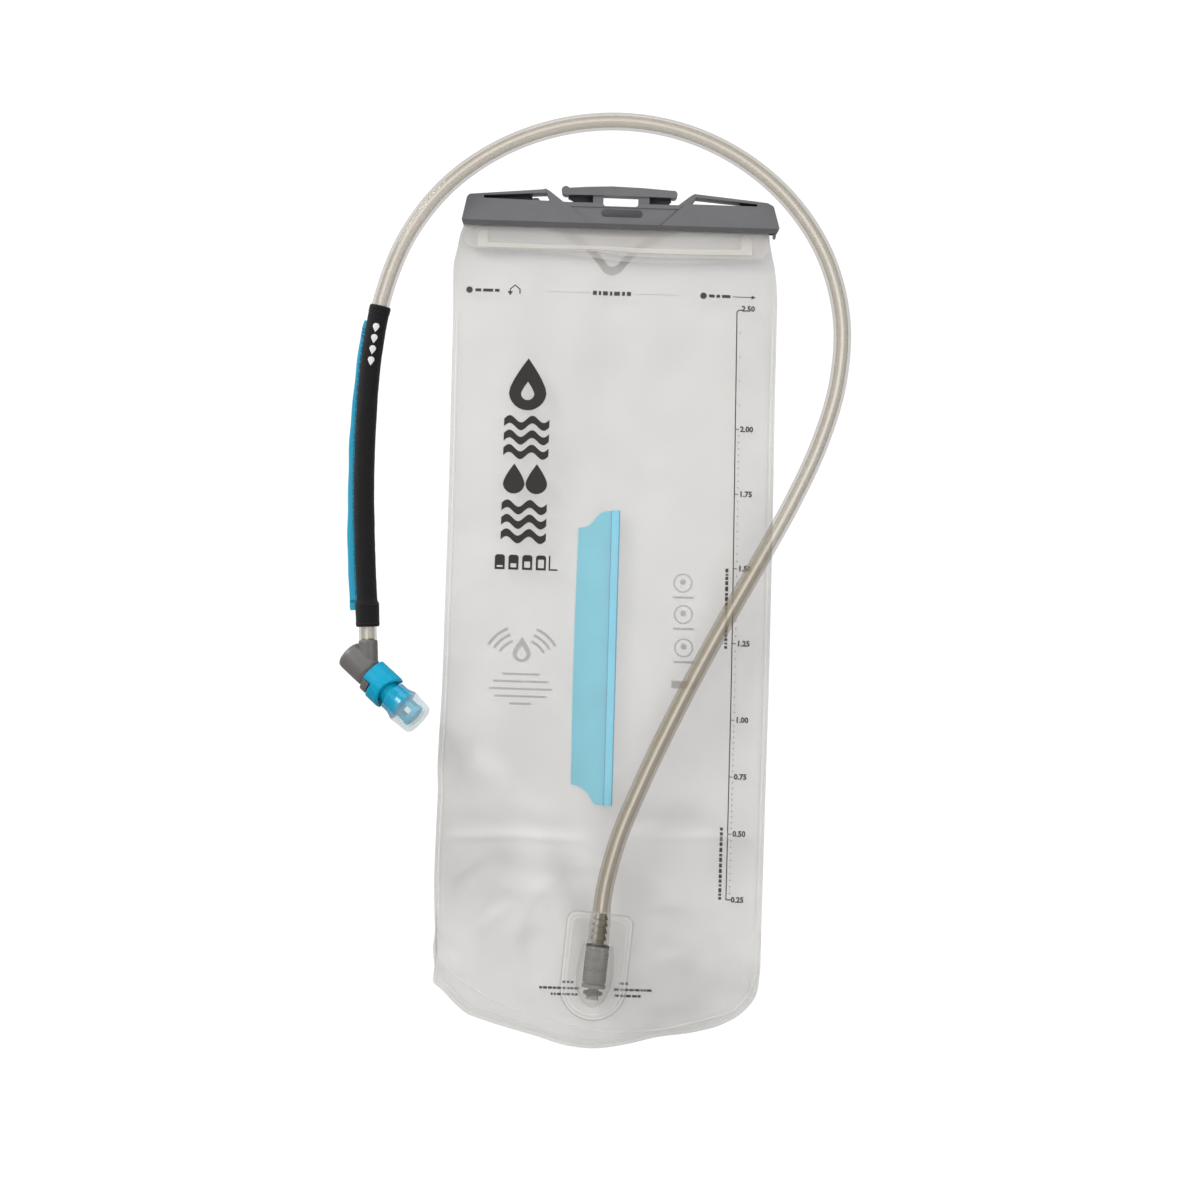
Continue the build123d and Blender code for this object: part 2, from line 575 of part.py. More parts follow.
BITE_CAP = [                # (radius, height)
    (0, 54.6), (4.0, 54.4), (7.2, 53.4), (8.6, 51.4), (9.0, 48.6), (9.6, 44.6), (9.8, 42.6),
    (9.2, 40.6), (8.2, 38.4), (7.5, 34.6), (7.5, 31.0), (6.56, 31.0), (6.56, 40.4),
    (7.7, 42.4), (7.9, 45.0), (7.2, 49.6), (6.0, 51.8), (0, 52.4),
]
slit_plane = Plane(origin=barrel_origin, x_dir=(sin_forward, cos_forward, 0), z_dir=barrel_dir)
slit = Box(9.0, 0.3, 6.0).moved(Location((0, 0, 53.0))).moved(slit_plane.location)
save("bite_cap", turned(BITE_CAP, barrel_axis) - slit)

# ---------------------------------------------------------------------------
# slider bar
# ---------------------------------------------------------------------------
BAR_Y0, BAR_Y1 = -8.5, 5.5
BAR_BOTTOM = -15.5
BAR_STOP_X = 83.0           # inner face of the closed right end
CHANNEL_Y, CHANNEL_Z = (-6.1, 3.1), (-12.3, -5.0)
MOUTH_SLOT_Y = (-4.3, 1.3)
STRAP_Y0, STRAP_Y1 = -7.0, 4.0
INFILL_Y0 = 0.5             # webs under the ends of the strap
INFILL_Y1 = 2.6
WALL_Y0, WALL_Y1 = 2.0, 4.4     # walls in the wedge slots

# outlines (x, z)
BAR = [
    (-84.9, BAR_BOTTOM + 2.2), (-84.2, BAR_BOTTOM), (84.6, BAR_BOTTOM), (85.96, -13.06),
    (82.48, -1.46), (79.3, 0.27), (72.57, 0.97), (39.74, 3.97), (37.3, 2.44), (31.3, -2.3),
    (-28.09, -2.4), (-30.56, -2.32), (-37.94, 3.19), (-40.12, 4.36), (-42.26, 3.92),
    (-81.0, 0.39), (-82.4, -1.16),
]
STRAP = [
    (-30.2, 1.75), (-30.2, 4.3), (-28.87, 5.41), (-17.0, 6.35), (-4.47, 6.93), (12.0, 6.5),
    (28.2, 5.54), (29.3, 4.4), (29.3, 1.75), (15.5, 1.9), (-9.0, 2.0),
]
LEFT_WEDGE = [(-73.3, 0.0), (-73.3, -1.5), (-38.9, -2.1), (-37.4, -1.6), (-39.6, 2.2)]
RIGHT_WEDGE = [(38.1, -1.6), (40.45, 2.16), (73.5, -0.5), (73.6, -1.74)]
TONGUE = [(-47.6, -3.4), (-47.6, -1.2), (-46.6, -0.3), (-44.2, -0.3), (-43.4, -1.2),
          (-43.4, -3.4)]
LEFT_WALL = [(-75.0, -2.6), (-75.0, 1.0), (-66.0, 1.6), (-56.6, 3.6), (-52.4, 4.2),
             (-48.4, 3.4), (-47.2, 0.0), (-46.8, -2.6)]
RIGHT_WALL = [(62.4, -3.0), (63.8, -0.8), (67.5, 1.2), (74.2, 0.9), (74.6, -3.0)]
LEFT_INFILL = [(-27.6, 2.4), (-28.2, 0.6), (-25.6, -0.6), (-24.6, -3.4), (-13.0, -3.4),
               (-13.0, 2.6)]
RIGHT_INFILL = [(13.6, 2.6), (13.6, -3.4), (25.6, -3.4), (26.4, -0.8), (27.6, 0.6), (27.0, 2.4)]
FRONT_RECESS = [(-26.5, -4.6), (-15.4, -13.4), (20.9, -12.6), (31.9, -4.4)]
END_HOOK = [(82.9, -13.5), (82.9, -17.2), (83.4, -17.8), (84.2, -17.8), (84.6, -13.5)]
TAB = [(-44, -12.5), (-33, -17.5), (-16.5, -27.5), (-11.2, -33.5), (-7.4, -38.4),
       (-3.2, -39.8), (1.0, -38.4), (4.8, -33.5), (10.0, -27.5), (26.5, -17.5), (37.5, -12.5)]
TAB_HOLE = [(-23.0, -18.2), (-13.4, -24.6), (-8.6, -30.6), (-5.6, -34.4), (-3.2, -35.2),
            (-0.8, -34.4), (2.2, -30.6), (7.0, -24.6), (16.6, -18.2)]


def channel_cut(y_range, z0, height):
    """Box cut from the stop out through the left end."""
    return Box(200, y_range[1] - y_range[0], height,
               align=(Align.MAX, Align.MIN, Align.MIN)).moved(
        Location((BAR_STOP_X, y_range[0], z0)))


def strap_post(x, width):
    return Box(width, 9.0, 5.2, align=ON_BASE).moved(Location((x, FOLD_Y, -3.2)))


def strap_nose(x, z, radius):
    return Cylinder(radius, STRAP_Y1 - STRAP_Y0).moved(Location((x, FOLD_Y, z), (90, 0, 0)))


def slider_bar():
    bar = prism_xz(BAR, BAR_Y0, BAR_Y1)
    # chamfers along both bottom edges
    chamfer_cut = Box(200, 3.0, 3.0).moved(Rot(45, 0, 0))
    for y in (BAR_Y0, BAR_Y1):
        bar = bar - chamfer_cut.moved(Location((0, y, BAR_BOTTOM)))
    # hanger strap on two posts, with a slot between them cut a little into the bar
    posts = strap_post(-11.9, 5.6) + strap_post(12.7, 6.0)
    bar = bar + posts + prism_xz(STRAP, STRAP_Y0, STRAP_Y1)
    hanger_slot = (Plane.XZ * Pos(0.3, -1.25) * RectangleRounded(18.8, 5.5, 1.6)).face()
    bar = bar - extrude(hanger_slot, amount=20, both=True)
    # wedge slots under the side ridges, with a tongue in the left one
    bar = bar - prism_xz(LEFT_WEDGE, -20, 20)
    bar = bar - prism_xz(RIGHT_WEDGE, -20, 20)
    bar = bar + prism_xz(TONGUE, -5.0, 2.0)
    # walls across the outer parts of the wedge slots, towards the rear
    bar = bar + prism_xz(LEFT_WALL, WALL_Y0, WALL_Y1) + prism_xz(RIGHT_WALL, WALL_Y0, WALL_Y1)
    # webs under the ends of the strap, and its rounded noses
    bar = bar + prism_xz(LEFT_INFILL, INFILL_Y0, INFILL_Y1)
    bar = bar + prism_xz(RIGHT_INFILL, INFILL_Y0, INFILL_Y1)
    bar = bar + strap_nose(-29.4, 4.1, 2.3)
    bar = bar + strap_nose(28.6, 3.6, 2.05)
    bar = bar - prism_xz(FRONT_RECESS, -20, BAR_Y0 + 0.5)
    # channel for the folded mouth, and the slot below it that the bag hangs through
    bar = bar - channel_cut(CHANNEL_Y, CHANNEL_Z[0], CHANNEL_Z[1] - CHANNEL_Z[0])
    bar = bar - channel_cut(MOUTH_SLOT_Y, BAR_BOTTOM - 1.0, 8.0)
    # hook under the closed right end, and the rear finger tab
    bar = bar + prism_xz(END_HOOK, -5.5, 2.5)
    return bar + (prism_xz(TAB, 3.9, BAR_Y1) - prism_xz(TAB_HOLE, 3.0, BAR_Y1 + 1))


save("slider_bar", slider_bar())
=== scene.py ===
"""A soft water reservoir with a slider bar across its mouth, a drink tube and a bite valve.

The bag hangs in the XZ plane: +Z is up, the front faces -Y and +X is the right-hand side
seen from the front. The weld plane of the two films is y = 0. The tube leaves the outlet
port low on the front, loops over the bar and comes down on the left to the valve.
Everything is in millimetres until a mesh is made; stage, lights and camera are in metres.
"""
import math
import bmesh
import bpy
import numpy as np
from mathutils import Matrix, Vector


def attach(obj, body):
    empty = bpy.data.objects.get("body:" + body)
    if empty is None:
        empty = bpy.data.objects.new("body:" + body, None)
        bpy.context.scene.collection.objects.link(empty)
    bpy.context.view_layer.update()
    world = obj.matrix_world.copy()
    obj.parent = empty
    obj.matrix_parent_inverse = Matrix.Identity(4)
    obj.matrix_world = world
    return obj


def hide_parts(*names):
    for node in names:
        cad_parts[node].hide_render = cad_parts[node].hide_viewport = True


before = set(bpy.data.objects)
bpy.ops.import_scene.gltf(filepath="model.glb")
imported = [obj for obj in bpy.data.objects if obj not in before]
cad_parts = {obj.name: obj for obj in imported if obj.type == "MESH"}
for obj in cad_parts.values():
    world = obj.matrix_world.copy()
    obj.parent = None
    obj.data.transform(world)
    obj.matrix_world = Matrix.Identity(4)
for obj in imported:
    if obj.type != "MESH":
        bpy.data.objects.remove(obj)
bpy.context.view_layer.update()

scene = bpy.context.scene
MM = 0.001
TURN = 2 * math.pi


# =====================================================================
# numeric helpers
# =====================================================================
def ease(start, end, x):
    """Smooth step from 0 at start to 1 at end."""
    t = np.clip((np.asarray(x, float) - start) / (end - start), 0.0, 1.0)
    return t * t * (3 - 2 * t)


def bell(offset, width):
    return np.exp(-(offset / width) ** 2)


noise_rng = np.random.RandomState(7)
PERMUTATION = np.tile(noise_rng.permutation(256), 3)
GRADIENTS = noise_rng.uniform(-1, 1, (256, 2))
GRADIENTS /= np.linalg.norm(GRADIENTS, axis=1)[:, None]


def perlin(x, y, seed=0):
    x = np.asarray(x, float) + seed * 17.31
    y = np.asarray(y, float) + seed * 9.73
    xi, yi = np.floor(x).astype(int), np.floor(y).astype(int)
    xf, yf = x - xi, y - yi
    u = xf * xf * xf * (xf * (xf * 6 - 15) + 10)
    v = yf * yf * yf * (yf * (yf * 6 - 15) + 10)

    def corner(i, j):
        k = PERMUTATION[(PERMUTATION[(xi + i) & 255] + yi + j) & 255]
        return GRADIENTS[k, 0] * (xf - i) + GRADIENTS[k, 1] * (yf - j)
    low = corner(0, 0) * (1 - u) + corner(1, 0) * u
    high = corner(0, 1) * (1 - u) + corner(1, 1) * u
    return low * (1 - v) + high * v


def folds(x, z, amount, x_size, z_size, seed):
    """Noise of the given height, stretched to a size along x and z."""
    return amount * perlin(x / x_size, z / z_size, seed)


def line_distance(px, pz, line):
    """Distance from points to an open polyline."""
    px, pz = np.asarray(px, float), np.asarray(pz, float)
    best = np.full(px.shape, 1e9)
    for (x0, z0), (x1, z1) in zip(line[:-1], line[1:]):
        dx, dz = x1 - x0, z1 - z0
        length2 = dx * dx + dz * dz + 1e-12
        t = np.clip(((px - x0) * dx + (pz - z0) * dz) / length2, 0, 1)
        best = np.minimum(best, np.hypot(px - (x0 + t * dx), pz - (z0 + t * dz)))
    return best


def run_length(points):
    """Distance along a polyline at each of its points."""
    return np.r_[0, np.cumsum(np.linalg.norm(np.diff(points, axis=0), axis=1))]


def resample(points, n):
    """n + 1 evenly spaced points along a polyline."""
    points = np.array(points, float)
    s = run_length(points)
    even = np.linspace(0, s[-1], n + 1)
    return np.stack([np.interp(even, s, points[:, k]) for k in range(points.shape[1])], 1)


def smooth_line(points, step, start_dir=None, end_dir=None):
    """Catmull-Rom style curve through the points, resampled at an even step."""
    P = np.array(points, float)
    n = len(P)
    T = np.zeros_like(P)
    d = np.linalg.norm(np.diff(P, axis=0), axis=1)
    for i in range(1, n - 1):
        a, b = d[i - 1], d[i]
        T[i] = ((P[i] - P[i - 1]) / a * b + (P[i + 1] - P[i]) / b * a) / (a + b)
    T[0] = (P[1] - P[0]) / d[0] if start_dir is None else start_dir
    T[-1] = (P[-1] - P[-2]) / d[-1] if end_dir is None else end_dir
    out = []
    for i in range(n - 1):
        m = max(2, int(d[i] / step * 3))
        for k in range(m):
            t = k / m
            h00, h10 = 2 * t**3 - 3 * t**2 + 1, t**3 - 2 * t**2 + t
            h01, h11 = -2 * t**3 + 3 * t**2, t**3 - t**2
            out.append(h00 * P[i] + h10 * T[i] * d[i] + h01 * P[i + 1] + h11 * T[i + 1] * d[i])
    out.append(P[-1])
    out = np.array(out)
    return resample(out, max(2, int(round(run_length(out)[-1] / step))))


# =====================================================================
# shader helpers
# =====================================================================
MAT = {}  # every material made here, by name


def srgb(r, g, b):
    return tuple(((c / 255 + 0.055) / 1.055) ** 2.4 if c > 10.3 else c / 255 / 12.92
                 for c in (r, g, b))


def feed(nt, target, values):
    """Sets or links a node's inputs, given by name or index."""
    for key, value in values.items():
        if isinstance(value, bpy.types.NodeSocket):
            nt.links.new(value, target.inputs[key])
        else:
            target.inputs[key].default_value = value


def node(nt, kind, inputs=None, **properties):
    made = nt.nodes.new("ShaderNode" + kind)
    for key, value in properties.items():
        setattr(made, key, value)
    feed(nt, made, inputs or {})
    return made


def new_material(name):
    """Registers an empty principled material; returns its tree and shader."""
    material = bpy.data.materials.new(name)
    material.use_nodes = True
    nt = material.node_tree
    for old in list(nt.nodes):
        nt.nodes.remove(old)
    output = node(nt, "OutputMaterial")
    shader = node(nt, "BsdfPrincipled")
    nt.links.new(shader.outputs[0], output.inputs[0])
    MAT[name] = material
    return nt, shader


def coords(nt, scale=(1000.0, 1000.0, 1000.0), space="Object"):
    """Texture coordinates; the default scale turns metres into millimetres."""
    source = node(nt, "TexCoord").outputs[space]
    return node(nt, "Mapping", {"Scale": scale, 0: source}).outputs[0]


def ramp(nt, source, lo, hi, a=0, b=1):
    """Maps lo..hi to a..b, clamped."""
    return node(nt, "MapRange", {0: source, 1: lo, 2: hi, 3: a, 4: b}, clamp=True).outputs[0]


def mix_color(nt, factor, a, b, blend="MIX"):
    a, b = ((*c, 1) if isinstance(c, tuple) else c for c in (a, b))
    mix = node(nt, "Mix", data_type="RGBA", blend_type=blend)
    feed(nt, mix, {0: factor, 6: a, 7: b})
    return mix.outputs[2]


def noise(nt, co, scale, detail=3.0, rough=0.5, distortion=0.0):
    return node(nt, "TexNoise", {"Scale": scale, "Detail": detail, "Roughness": rough,
                                 "Distortion": distortion, "Vector": co}).outputs["Fac"]


def bump(nt, shader, height, strength, distance=0.0002):
    made = node(nt, "Bump", {"Strength": strength, "Distance": distance, "Height": height})
    nt.links.new(made.outputs[0], shader.inputs["Normal"])


def math_node(nt, operation, *values):
    return node(nt, "Math", dict(enumerate(values)), operation=operation).outputs[0]


def vector_node(nt, operation, output, a, b):
    made = node(nt, "VectorMath", {0: a, 1: b}, operation=operation)
    return made.outputs[output]


def tone(color, gain):
    return tuple(min(1, c * gain) for c in color)


# =====================================================================
# materials
# =====================================================================
def plastic(name, rgb, rough, variation, grain, grain_strength, alpha=1.0, spec=0.5, wear=0.0):
    """Moulded plastic: clouded tone and gloss, fine grain, optional pale wear marks."""
    color = srgb(*rgb)
    nt, shader = new_material(name)
    co = coords(nt)
    cloud = ramp(nt, noise(nt, co, scale=0.05, detail=4.0), lo=0.3, hi=0.7)
    base = mix_color(nt, cloud, tone(color, 1 - variation), tone(color, 1 + variation))
    if wear:
        scuffs = noise(nt, co, scale=0.6, detail=8.0, rough=0.7, distortion=1.5)
        pale = tuple(min(1, c * 1.5 + 0.03) for c in color)
        base = mix_color(nt, ramp(nt, scuffs, lo=0.62, hi=0.78, b=wear), base, pale)
    grain_fac = noise(nt, co, scale=grain, detail=2.0)
    gloss = noise(nt, co, scale=0.22, detail=5.0)
    spread = 0.12  # share by which the roughness wanders
    feed(nt, shader, {
        "Base Color": base,
        "Roughness": ramp(nt, gloss, lo=0.3, hi=0.7,
                          a=rough * (1 - spread), b=min(1, rough * (1 + spread))),
        "Specular IOR Level": spec,
        "Alpha": alpha})
    bump(nt, shader, grain_fac, grain_strength)


def film(name, rgb, alpha, rough=0.36):
    """Frosted film: milky, soft sheen, slightly cloudy."""
    color = srgb(*rgb)
    nt, shader = new_material(name)
    co = coords(nt)
    cloud = noise(nt, co, scale=0.028, detail=4.0, rough=0.55)
    base = mix_color(nt, ramp(nt, cloud, lo=0.3, hi=0.72), tone(color, 0.955),
                     tone(color, 1.03))
    # painted shade of broad soft folds, stronger towards the foot of the bag
    height = node(nt, "SeparateXYZ", {0: co}).outputs[2]
    low = ramp(nt, height, lo=-210.0, hi=-380.0, a=0.25, b=1.0)
    fold = noise(nt, coords(nt, (1500.0, 500.0, 1000.0)), scale=0.011, detail=2.0,
                 rough=0.45, distortion=0.6)
    amount = math_node(nt, "MULTIPLY", ramp(nt, fold, lo=0.42, hi=0.66), low)
    smear = noise(nt, coords(nt, (1000.0, 1000.0, 250.0)), scale=0.09, detail=5.0, rough=0.6)
    feed(nt, shader, {
        "Base Color": mix_color(nt, amount, base, (0.76, 0.755, 0.745), blend="MULTIPLY"),
        "Roughness": ramp(nt, smear, lo=0.3, hi=0.7, a=rough - 0.07, b=rough + 0.1),
        "Specular IOR Level": 0.35,
        "Alpha": alpha})
    fine = noise(nt, co, scale=1.1, detail=3.0, rough=0.6)
    micro = noise(nt, co, scale=5.0, detail=2.0, rough=0.5)
    relief = math_node(nt, "MULTIPLY_ADD", micro, 0.35, fine)
    bump(nt, shader, relief, strength=0.10, distance=0.0001)


def clear(name, facing_rgb, edge_rgb, rough, alpha, blend=0.35, coat=0.3, relief=0.06, spec=0.7):
    """Clear plastic: glossy, with darker edges where the wall is seen side on."""
    nt, shader = new_material(name)
    co = coords(nt)
    facing = node(nt, "LayerWeight", {"Blend": blend}).outputs["Facing"]
    cloud = noise(nt, co, scale=0.04, detail=3.0)
    base = mix_color(nt, ramp(nt, facing, lo=0.1, hi=0.85), srgb(*facing_rgb),
                     srgb(*edge_rgb))
    haze = mix_color(nt, ramp(nt, cloud, lo=0.3, hi=0.7), (0.94, 0.94, 0.93), (1, 1, 1))
    gloss = noise(nt, co, scale=0.3, detail=4.0)
    feed(nt, shader, {
        "Base Color": mix_color(nt, 1.0, base, haze, blend="MULTIPLY"),
        "Roughness": ramp(nt, gloss, lo=0.3, hi=0.7, a=rough * 0.75, b=rough * 1.4),
        "Specular IOR Level": spec,
        "Coat Weight": coat,
        "Coat Roughness": 0.06,
        "Alpha": alpha})
    bump(nt, shader, noise(nt, co, scale=0.5, detail=3.0), relief)


def painted_hose_highlight_and_shade(name, light_dir, streak):
    """Painted highlight and painted shade on a thick clear hose: the long soft streak and the darker
    flank, set by which way the surface faces.
    """
    nt = MAT[name].node_tree
    shader = nt.nodes["Principled BSDF"]
    color = shader.inputs["Base Color"].links[0].from_socket
    normal = node(nt, "NewGeometry").outputs["Normal"]
    # tint, direction it faces, then where it starts, where it is full, and its strength; the first
    # row is painted shade on the flank, the second the painted highlight
    painted_tones = ((srgb(124, 108, 82), (0.80, -0.56, -0.20), 0.45, 0.95, 0.75),
             (srgb(255, 250, 240), light_dir, *streak))
    for tint, direction, lo, hi, amount in painted_tones:
        facing = vector_node(nt, "DOT_PRODUCT", "Value", normal,
                             list(Vector(direction).normalized()))
        color = mix_color(nt, ramp(nt, facing, lo, hi, b=amount), color, tint)
    nt.links.new(color, shader.inputs["Base Color"])


def silicone(name, origin, axis, blue_end, white_start, alpha):
    """Soft silicone: blue where it hugs the core, frosted white towards the lips.

    blue_end and white_start are metres from origin along axis."""
    nt, shader = new_material(name)
    place = node(nt, "TexCoord").outputs["Object"]
    place = vector_node(nt, "SUBTRACT", 0, place, [float(c) for c in origin])
    along = vector_node(nt, "DOT_PRODUCT", "Value", place, [float(c) for c in axis])
    co = coords(nt)
    cloud = noise(nt, co, scale=0.16, detail=3.0)
    wobbly = math_node(nt, "MULTIPLY_ADD", cloud, 0.004, along)
    whiteness = ramp(nt, wobbly, blue_end, white_start)
    facing = node(nt, "LayerWeight", {"Blend": 0.4}).outputs["Facing"]
    edge = ramp(nt, facing, lo=0.15, hi=0.9)
    blue = mix_color(nt, edge, srgb(0, 152, 188), srgb(0, 132, 170))
    white = mix_color(nt, edge, srgb(186, 210, 217), srgb(158, 186, 196))
    feed(nt, shader, {
        "Base Color": mix_color(nt, whiteness, blue, white),
        "Roughness": ramp(nt, cloud, lo=0.3, hi=0.7, a=0.16, b=0.3),
        "Specular IOR Level": 0.4,
        "Alpha": alpha})
    bump(nt, shader, noise(nt, co, scale=0.5, detail=3.0), strength=0.02)


def uv_parts(nt):
    parts = node(nt, "SeparateXYZ", {0: coords(nt, (1.0, 1.0, 1.0), "UV")})
    return parts.outputs[0], parts.outputs[1]


def knit(name):
    """Tight black knit: chevron stitches, u once round the tube, v in mm along it."""
    columns, stitch_pitch, slant = 36.0, 0.95, 5.0
    nt, shader = new_material(name)
    u, v = uv_parts(nt)
    across = math_node(nt, "FRACT", math_node(nt, "MULTIPLY", u, columns))
    off_center = math_node(nt, "ABSOLUTE", math_node(nt, "SUBTRACT", across, 0.5))
    phase = math_node(nt, "ADD", math_node(nt, "MULTIPLY", v, 6.2832 / stitch_pitch),
                      math_node(nt, "MULTIPLY", off_center, slant))
    stitches = math_node(nt, "SINE", phase)
    ribs = math_node(nt, "MULTIPLY", math_node(nt, "SUBTRACT", 0.5, off_center), 1.2)
    relief = math_node(nt, "ADD", math_node(nt, "MULTIPLY", stitches, 0.35), ribs)
    fuzz = noise(nt, coords(nt), scale=4.0, detail=4.0, rough=0.7)
    relief = math_node(nt, "ADD", relief, math_node(nt, "MULTIPLY", fuzz, 0.5))
    bump(nt, shader, relief, strength=0.75, distance=0.00025)
    # darker where the relief is low: painted shade between the stitches, with random fuzz in the
    # tone
    feed(nt, shader, {
        "Base Color": mix_color(nt, ramp(nt, relief, lo=-0.1, hi=1.2), srgb(5, 4, 5),
                                srgb(19, 17, 18)),
        "Roughness": 0.85,
        "Sheen Weight": 0.08,
        "Sheen Roughness": 0.5,
        "Specular IOR Level": 0.25})


def weave(name, low_rgb, high_rgb):
    """Plain weave from UVs in mm."""
    thread_pitch = 0.7
    nt, shader = new_material(name)
    waves = [math_node(nt, "SINE", math_node(nt, "MULTIPLY", part, 6.2832 / thread_pitch))
             for part in uv_parts(nt)]
    fuzz = noise(nt, coords(nt), scale=4.0, detail=3.0, rough=0.7)
    relief = math_node(nt, "ADD", math_node(nt, "MULTIPLY", *waves), fuzz)
    bump(nt, shader, relief, strength=0.6)
    # darker where the relief is low: painted shade between the threads, with random fuzz in the tone
    feed(nt, shader, {
        "Base Color": mix_color(nt, ramp(nt, relief, lo=-0.6, hi=1.4), srgb(*low_rgb),
                                srgb(*high_rgb)),
        "Roughness": 0.8,
        "Sheen Weight": 0.2})


# name, sRGB, roughness, tone variation, grain scale per mm, grain strength, others
PLASTICS = [
    ("stiffener_white", (238, 235, 228), 0.42, 0.03, 1.2, 0.15, dict(alpha=0.58)),
    ("rail_clear", (214, 213, 210), 0.3, 0.03, 1.2, 0.1, dict(alpha=0.55)),
    ("baffle_blue_film", (0, 200, 226), 0.35, 0.06, 0.9, 0.2, dict(alpha=0.93)),
    ("baffle_rail_blue", (64, 212, 242), 0.22, 0.04, 0.8, 0.1, dict(spec=0.6)),
    ("baffle_bead_blue", (0, 138, 176), 0.3, 0.05, 0.8, 0.1, {}),
    ("bar_grey", (98, 98, 101), 0.40, 0.05, 2.2, 0.35, dict(wear=0.18)),
    # a darker copy of the bar's grey: painted shade on the walls deep in the bar, the strap roots
    # and the right slanted edge; the badge takes the same grey
    ("bar_grey_dark_and_shade", (58, 57, 58), 0.5, 0.05, 2.2, 0.3, {}),
    ("valve_grey", (93, 90, 88), 0.4, 0.05, 2.0, 0.3, dict(wear=0.12)),
    ("plug_grey", (38, 40, 50), 0.38, 0.05, 2.0, 0.2, {}),
    ("collar_blue", (0, 143, 176), 0.42, 0.05, 1.6, 0.22, dict(spec=0.16)),
    ("core_blue", (0, 166, 198), 0.36, 0.05, 1.6, 0.2, dict(spec=0.2)),
    ("seal_black", (28, 27, 28), 0.55, 0.1, 2.5, 0.3, {}),
    ("ink_black", (26, 22, 21), 0.5, 0.08, 1.2, 0.25, {}),
    ("ink_small", (52, 48, 46), 0.5, 0.06, 1.2, 0.2, {}),
    ("ink_back", (70, 70, 72), 0.6, 0.06, 1.2, 0.2, dict(alpha=0.8)),
    ("spring_steel", (170, 170, 172), 0.3, 0.05, 2.0, 0.1, {}),
    ("sleeve_print", (205, 204, 204), 0.6, 0.05, 1.5, 0.3, {}),
]

# name, sRGB face on, sRGB at the edges, roughness, alpha, others
CLEARS = [
    ("tube_clear", (156, 141, 113), (84, 70, 50), 0.13, 0.31,
     dict(blend=0.6, coat=0.12, relief=0.05, spec=0.4)),
    ("housing_clear", (236, 230, 220), (96, 91, 85), 0.12, 0.17, dict(blend=0.5)),
    ("flange_clear", (246, 244, 240), (128, 125, 121), 0.16, 0.13, dict(blend=0.4)),
    # painted shade and painted highlight, laid as thin strips along edges
    ("edge_shade", (130, 127, 123), (104, 102, 99), 0.3, 0.15, {}),
    ("edge_highlight", (246, 245, 242), (226, 224, 220), 0.2, 0.18, {}),
    ("weld_line", (176, 174, 172), (160, 158, 156), 0.3, 0.09, {}),
    ("tube_clear_end", (176, 161, 133), (92, 79, 58), 0.12, 0.2, dict(blend=0.4, coat=0.4)),
    ("housing_clear_inner", (236, 230, 220), (150, 145, 138), 0.12, 0.05,
     dict(blend=0.45, coat=0.2)),
]


def make_materials():
    film("film_frosted", (213, 211, 208), alpha=0.20)
    film("film_back_frosted", (213, 211, 208), alpha=0.44)
    # the lips' film is a little darker than the bag's: painted shade on the folded lips
    film("film_flap", (208, 205, 201), alpha=0.24, rough=0.24)
    for *row, others in PLASTICS:
        plastic(*row, **others)
    steel = MAT["spring_steel"].node_tree.nodes["Principled BSDF"]
    steel.inputs["Metallic"].default_value = 1.0
    for *row, others in CLEARS:
        clear(*row, **others)
    # painted highlight and painted shade on the hose, and on its end by the port
    painted_hose_highlight_and_shade("tube_clear", light_dir=(-0.08, -0.99, 0.02), streak=(0.975, 0.997, 0.6))
    painted_hose_highlight_and_shade("tube_clear_end", light_dir=(-0.46, -0.86, 0.22), streak=(0.935, 0.985, 0.8))
    knit("sleeve_knit")
    weave("tape_blue_weave", (4, 112, 146), (22, 164, 198))
    weave("thread_black", (16, 14, 16), (44, 42, 44))


# =====================================================================
# mesh helpers
# =====================================================================
def new_mesh(name, verts, faces):
    me = bpy.data.meshes.new(name)
    verts = (np.asarray(verts, float) * MM).tolist()
    me.from_pydata(verts, [], [tuple(int(i) for i in f) for f in faces])
    return me


def link_object(name, data):
    o = bpy.data.objects.new(name, data)
    scene.collection.objects.link(o)
    return o


def finish_mesh(me, angle):
    """Outward normals, smooth faces, sharp edges above the angle."""
    bm = bmesh.new()
    bm.from_mesh(me)
    bmesh.ops.recalc_face_normals(bm, faces=bm.faces)
    limit = math.radians(angle)
    for f in bm.faces:
        f.smooth = True
    for e in bm.edges:
        e.smooth = not (len(e.link_faces) != 2 or e.calc_face_angle(0.0) > limit)
    bm.to_mesh(me)
    bm.free()
    me.update()


def register(o, body, nodes):
    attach(o, body)
    if nodes:
        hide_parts(*nodes)


def add_piece(name, verts, faces, material, body, slot, nodes=(), angle=32.0, uv=None):
    me = new_mesh(name, verts, faces)
    if uv is not None:
        layer = me.uv_layers.new(name="UVMap")
        loop_verts = np.zeros(len(me.loops), int)
        me.loops.foreach_get("vertex_index", loop_verts)
        layer.data.foreach_set("uv", np.asarray(uv, float)[loop_verts].ravel())
    me.materials.append(MAT[material])
    finish_mesh(me, angle)
    o = link_object(name, me)
    register(o, body, nodes)
    return o


def raw_object(verts, faces):
    """Unfinished solid, to be cut and joined."""
    me = new_mesh("tmp", verts, faces)
    bm = bmesh.new()
    bm.from_mesh(me)
    bmesh.ops.recalc_face_normals(bm, faces=bm.faces)
    bm.to_mesh(me)
    bm.free()
    return link_object("tmp", me)


def apply_modifiers(o):
    bpy.context.view_layer.update()
    depsgraph = bpy.context.evaluated_depsgraph_get()
    me = bpy.data.meshes.new_from_object(o.evaluated_get(depsgraph))
    o.modifiers.clear()
    old = o.data
    o.data = me
    bpy.data.meshes.remove(old)


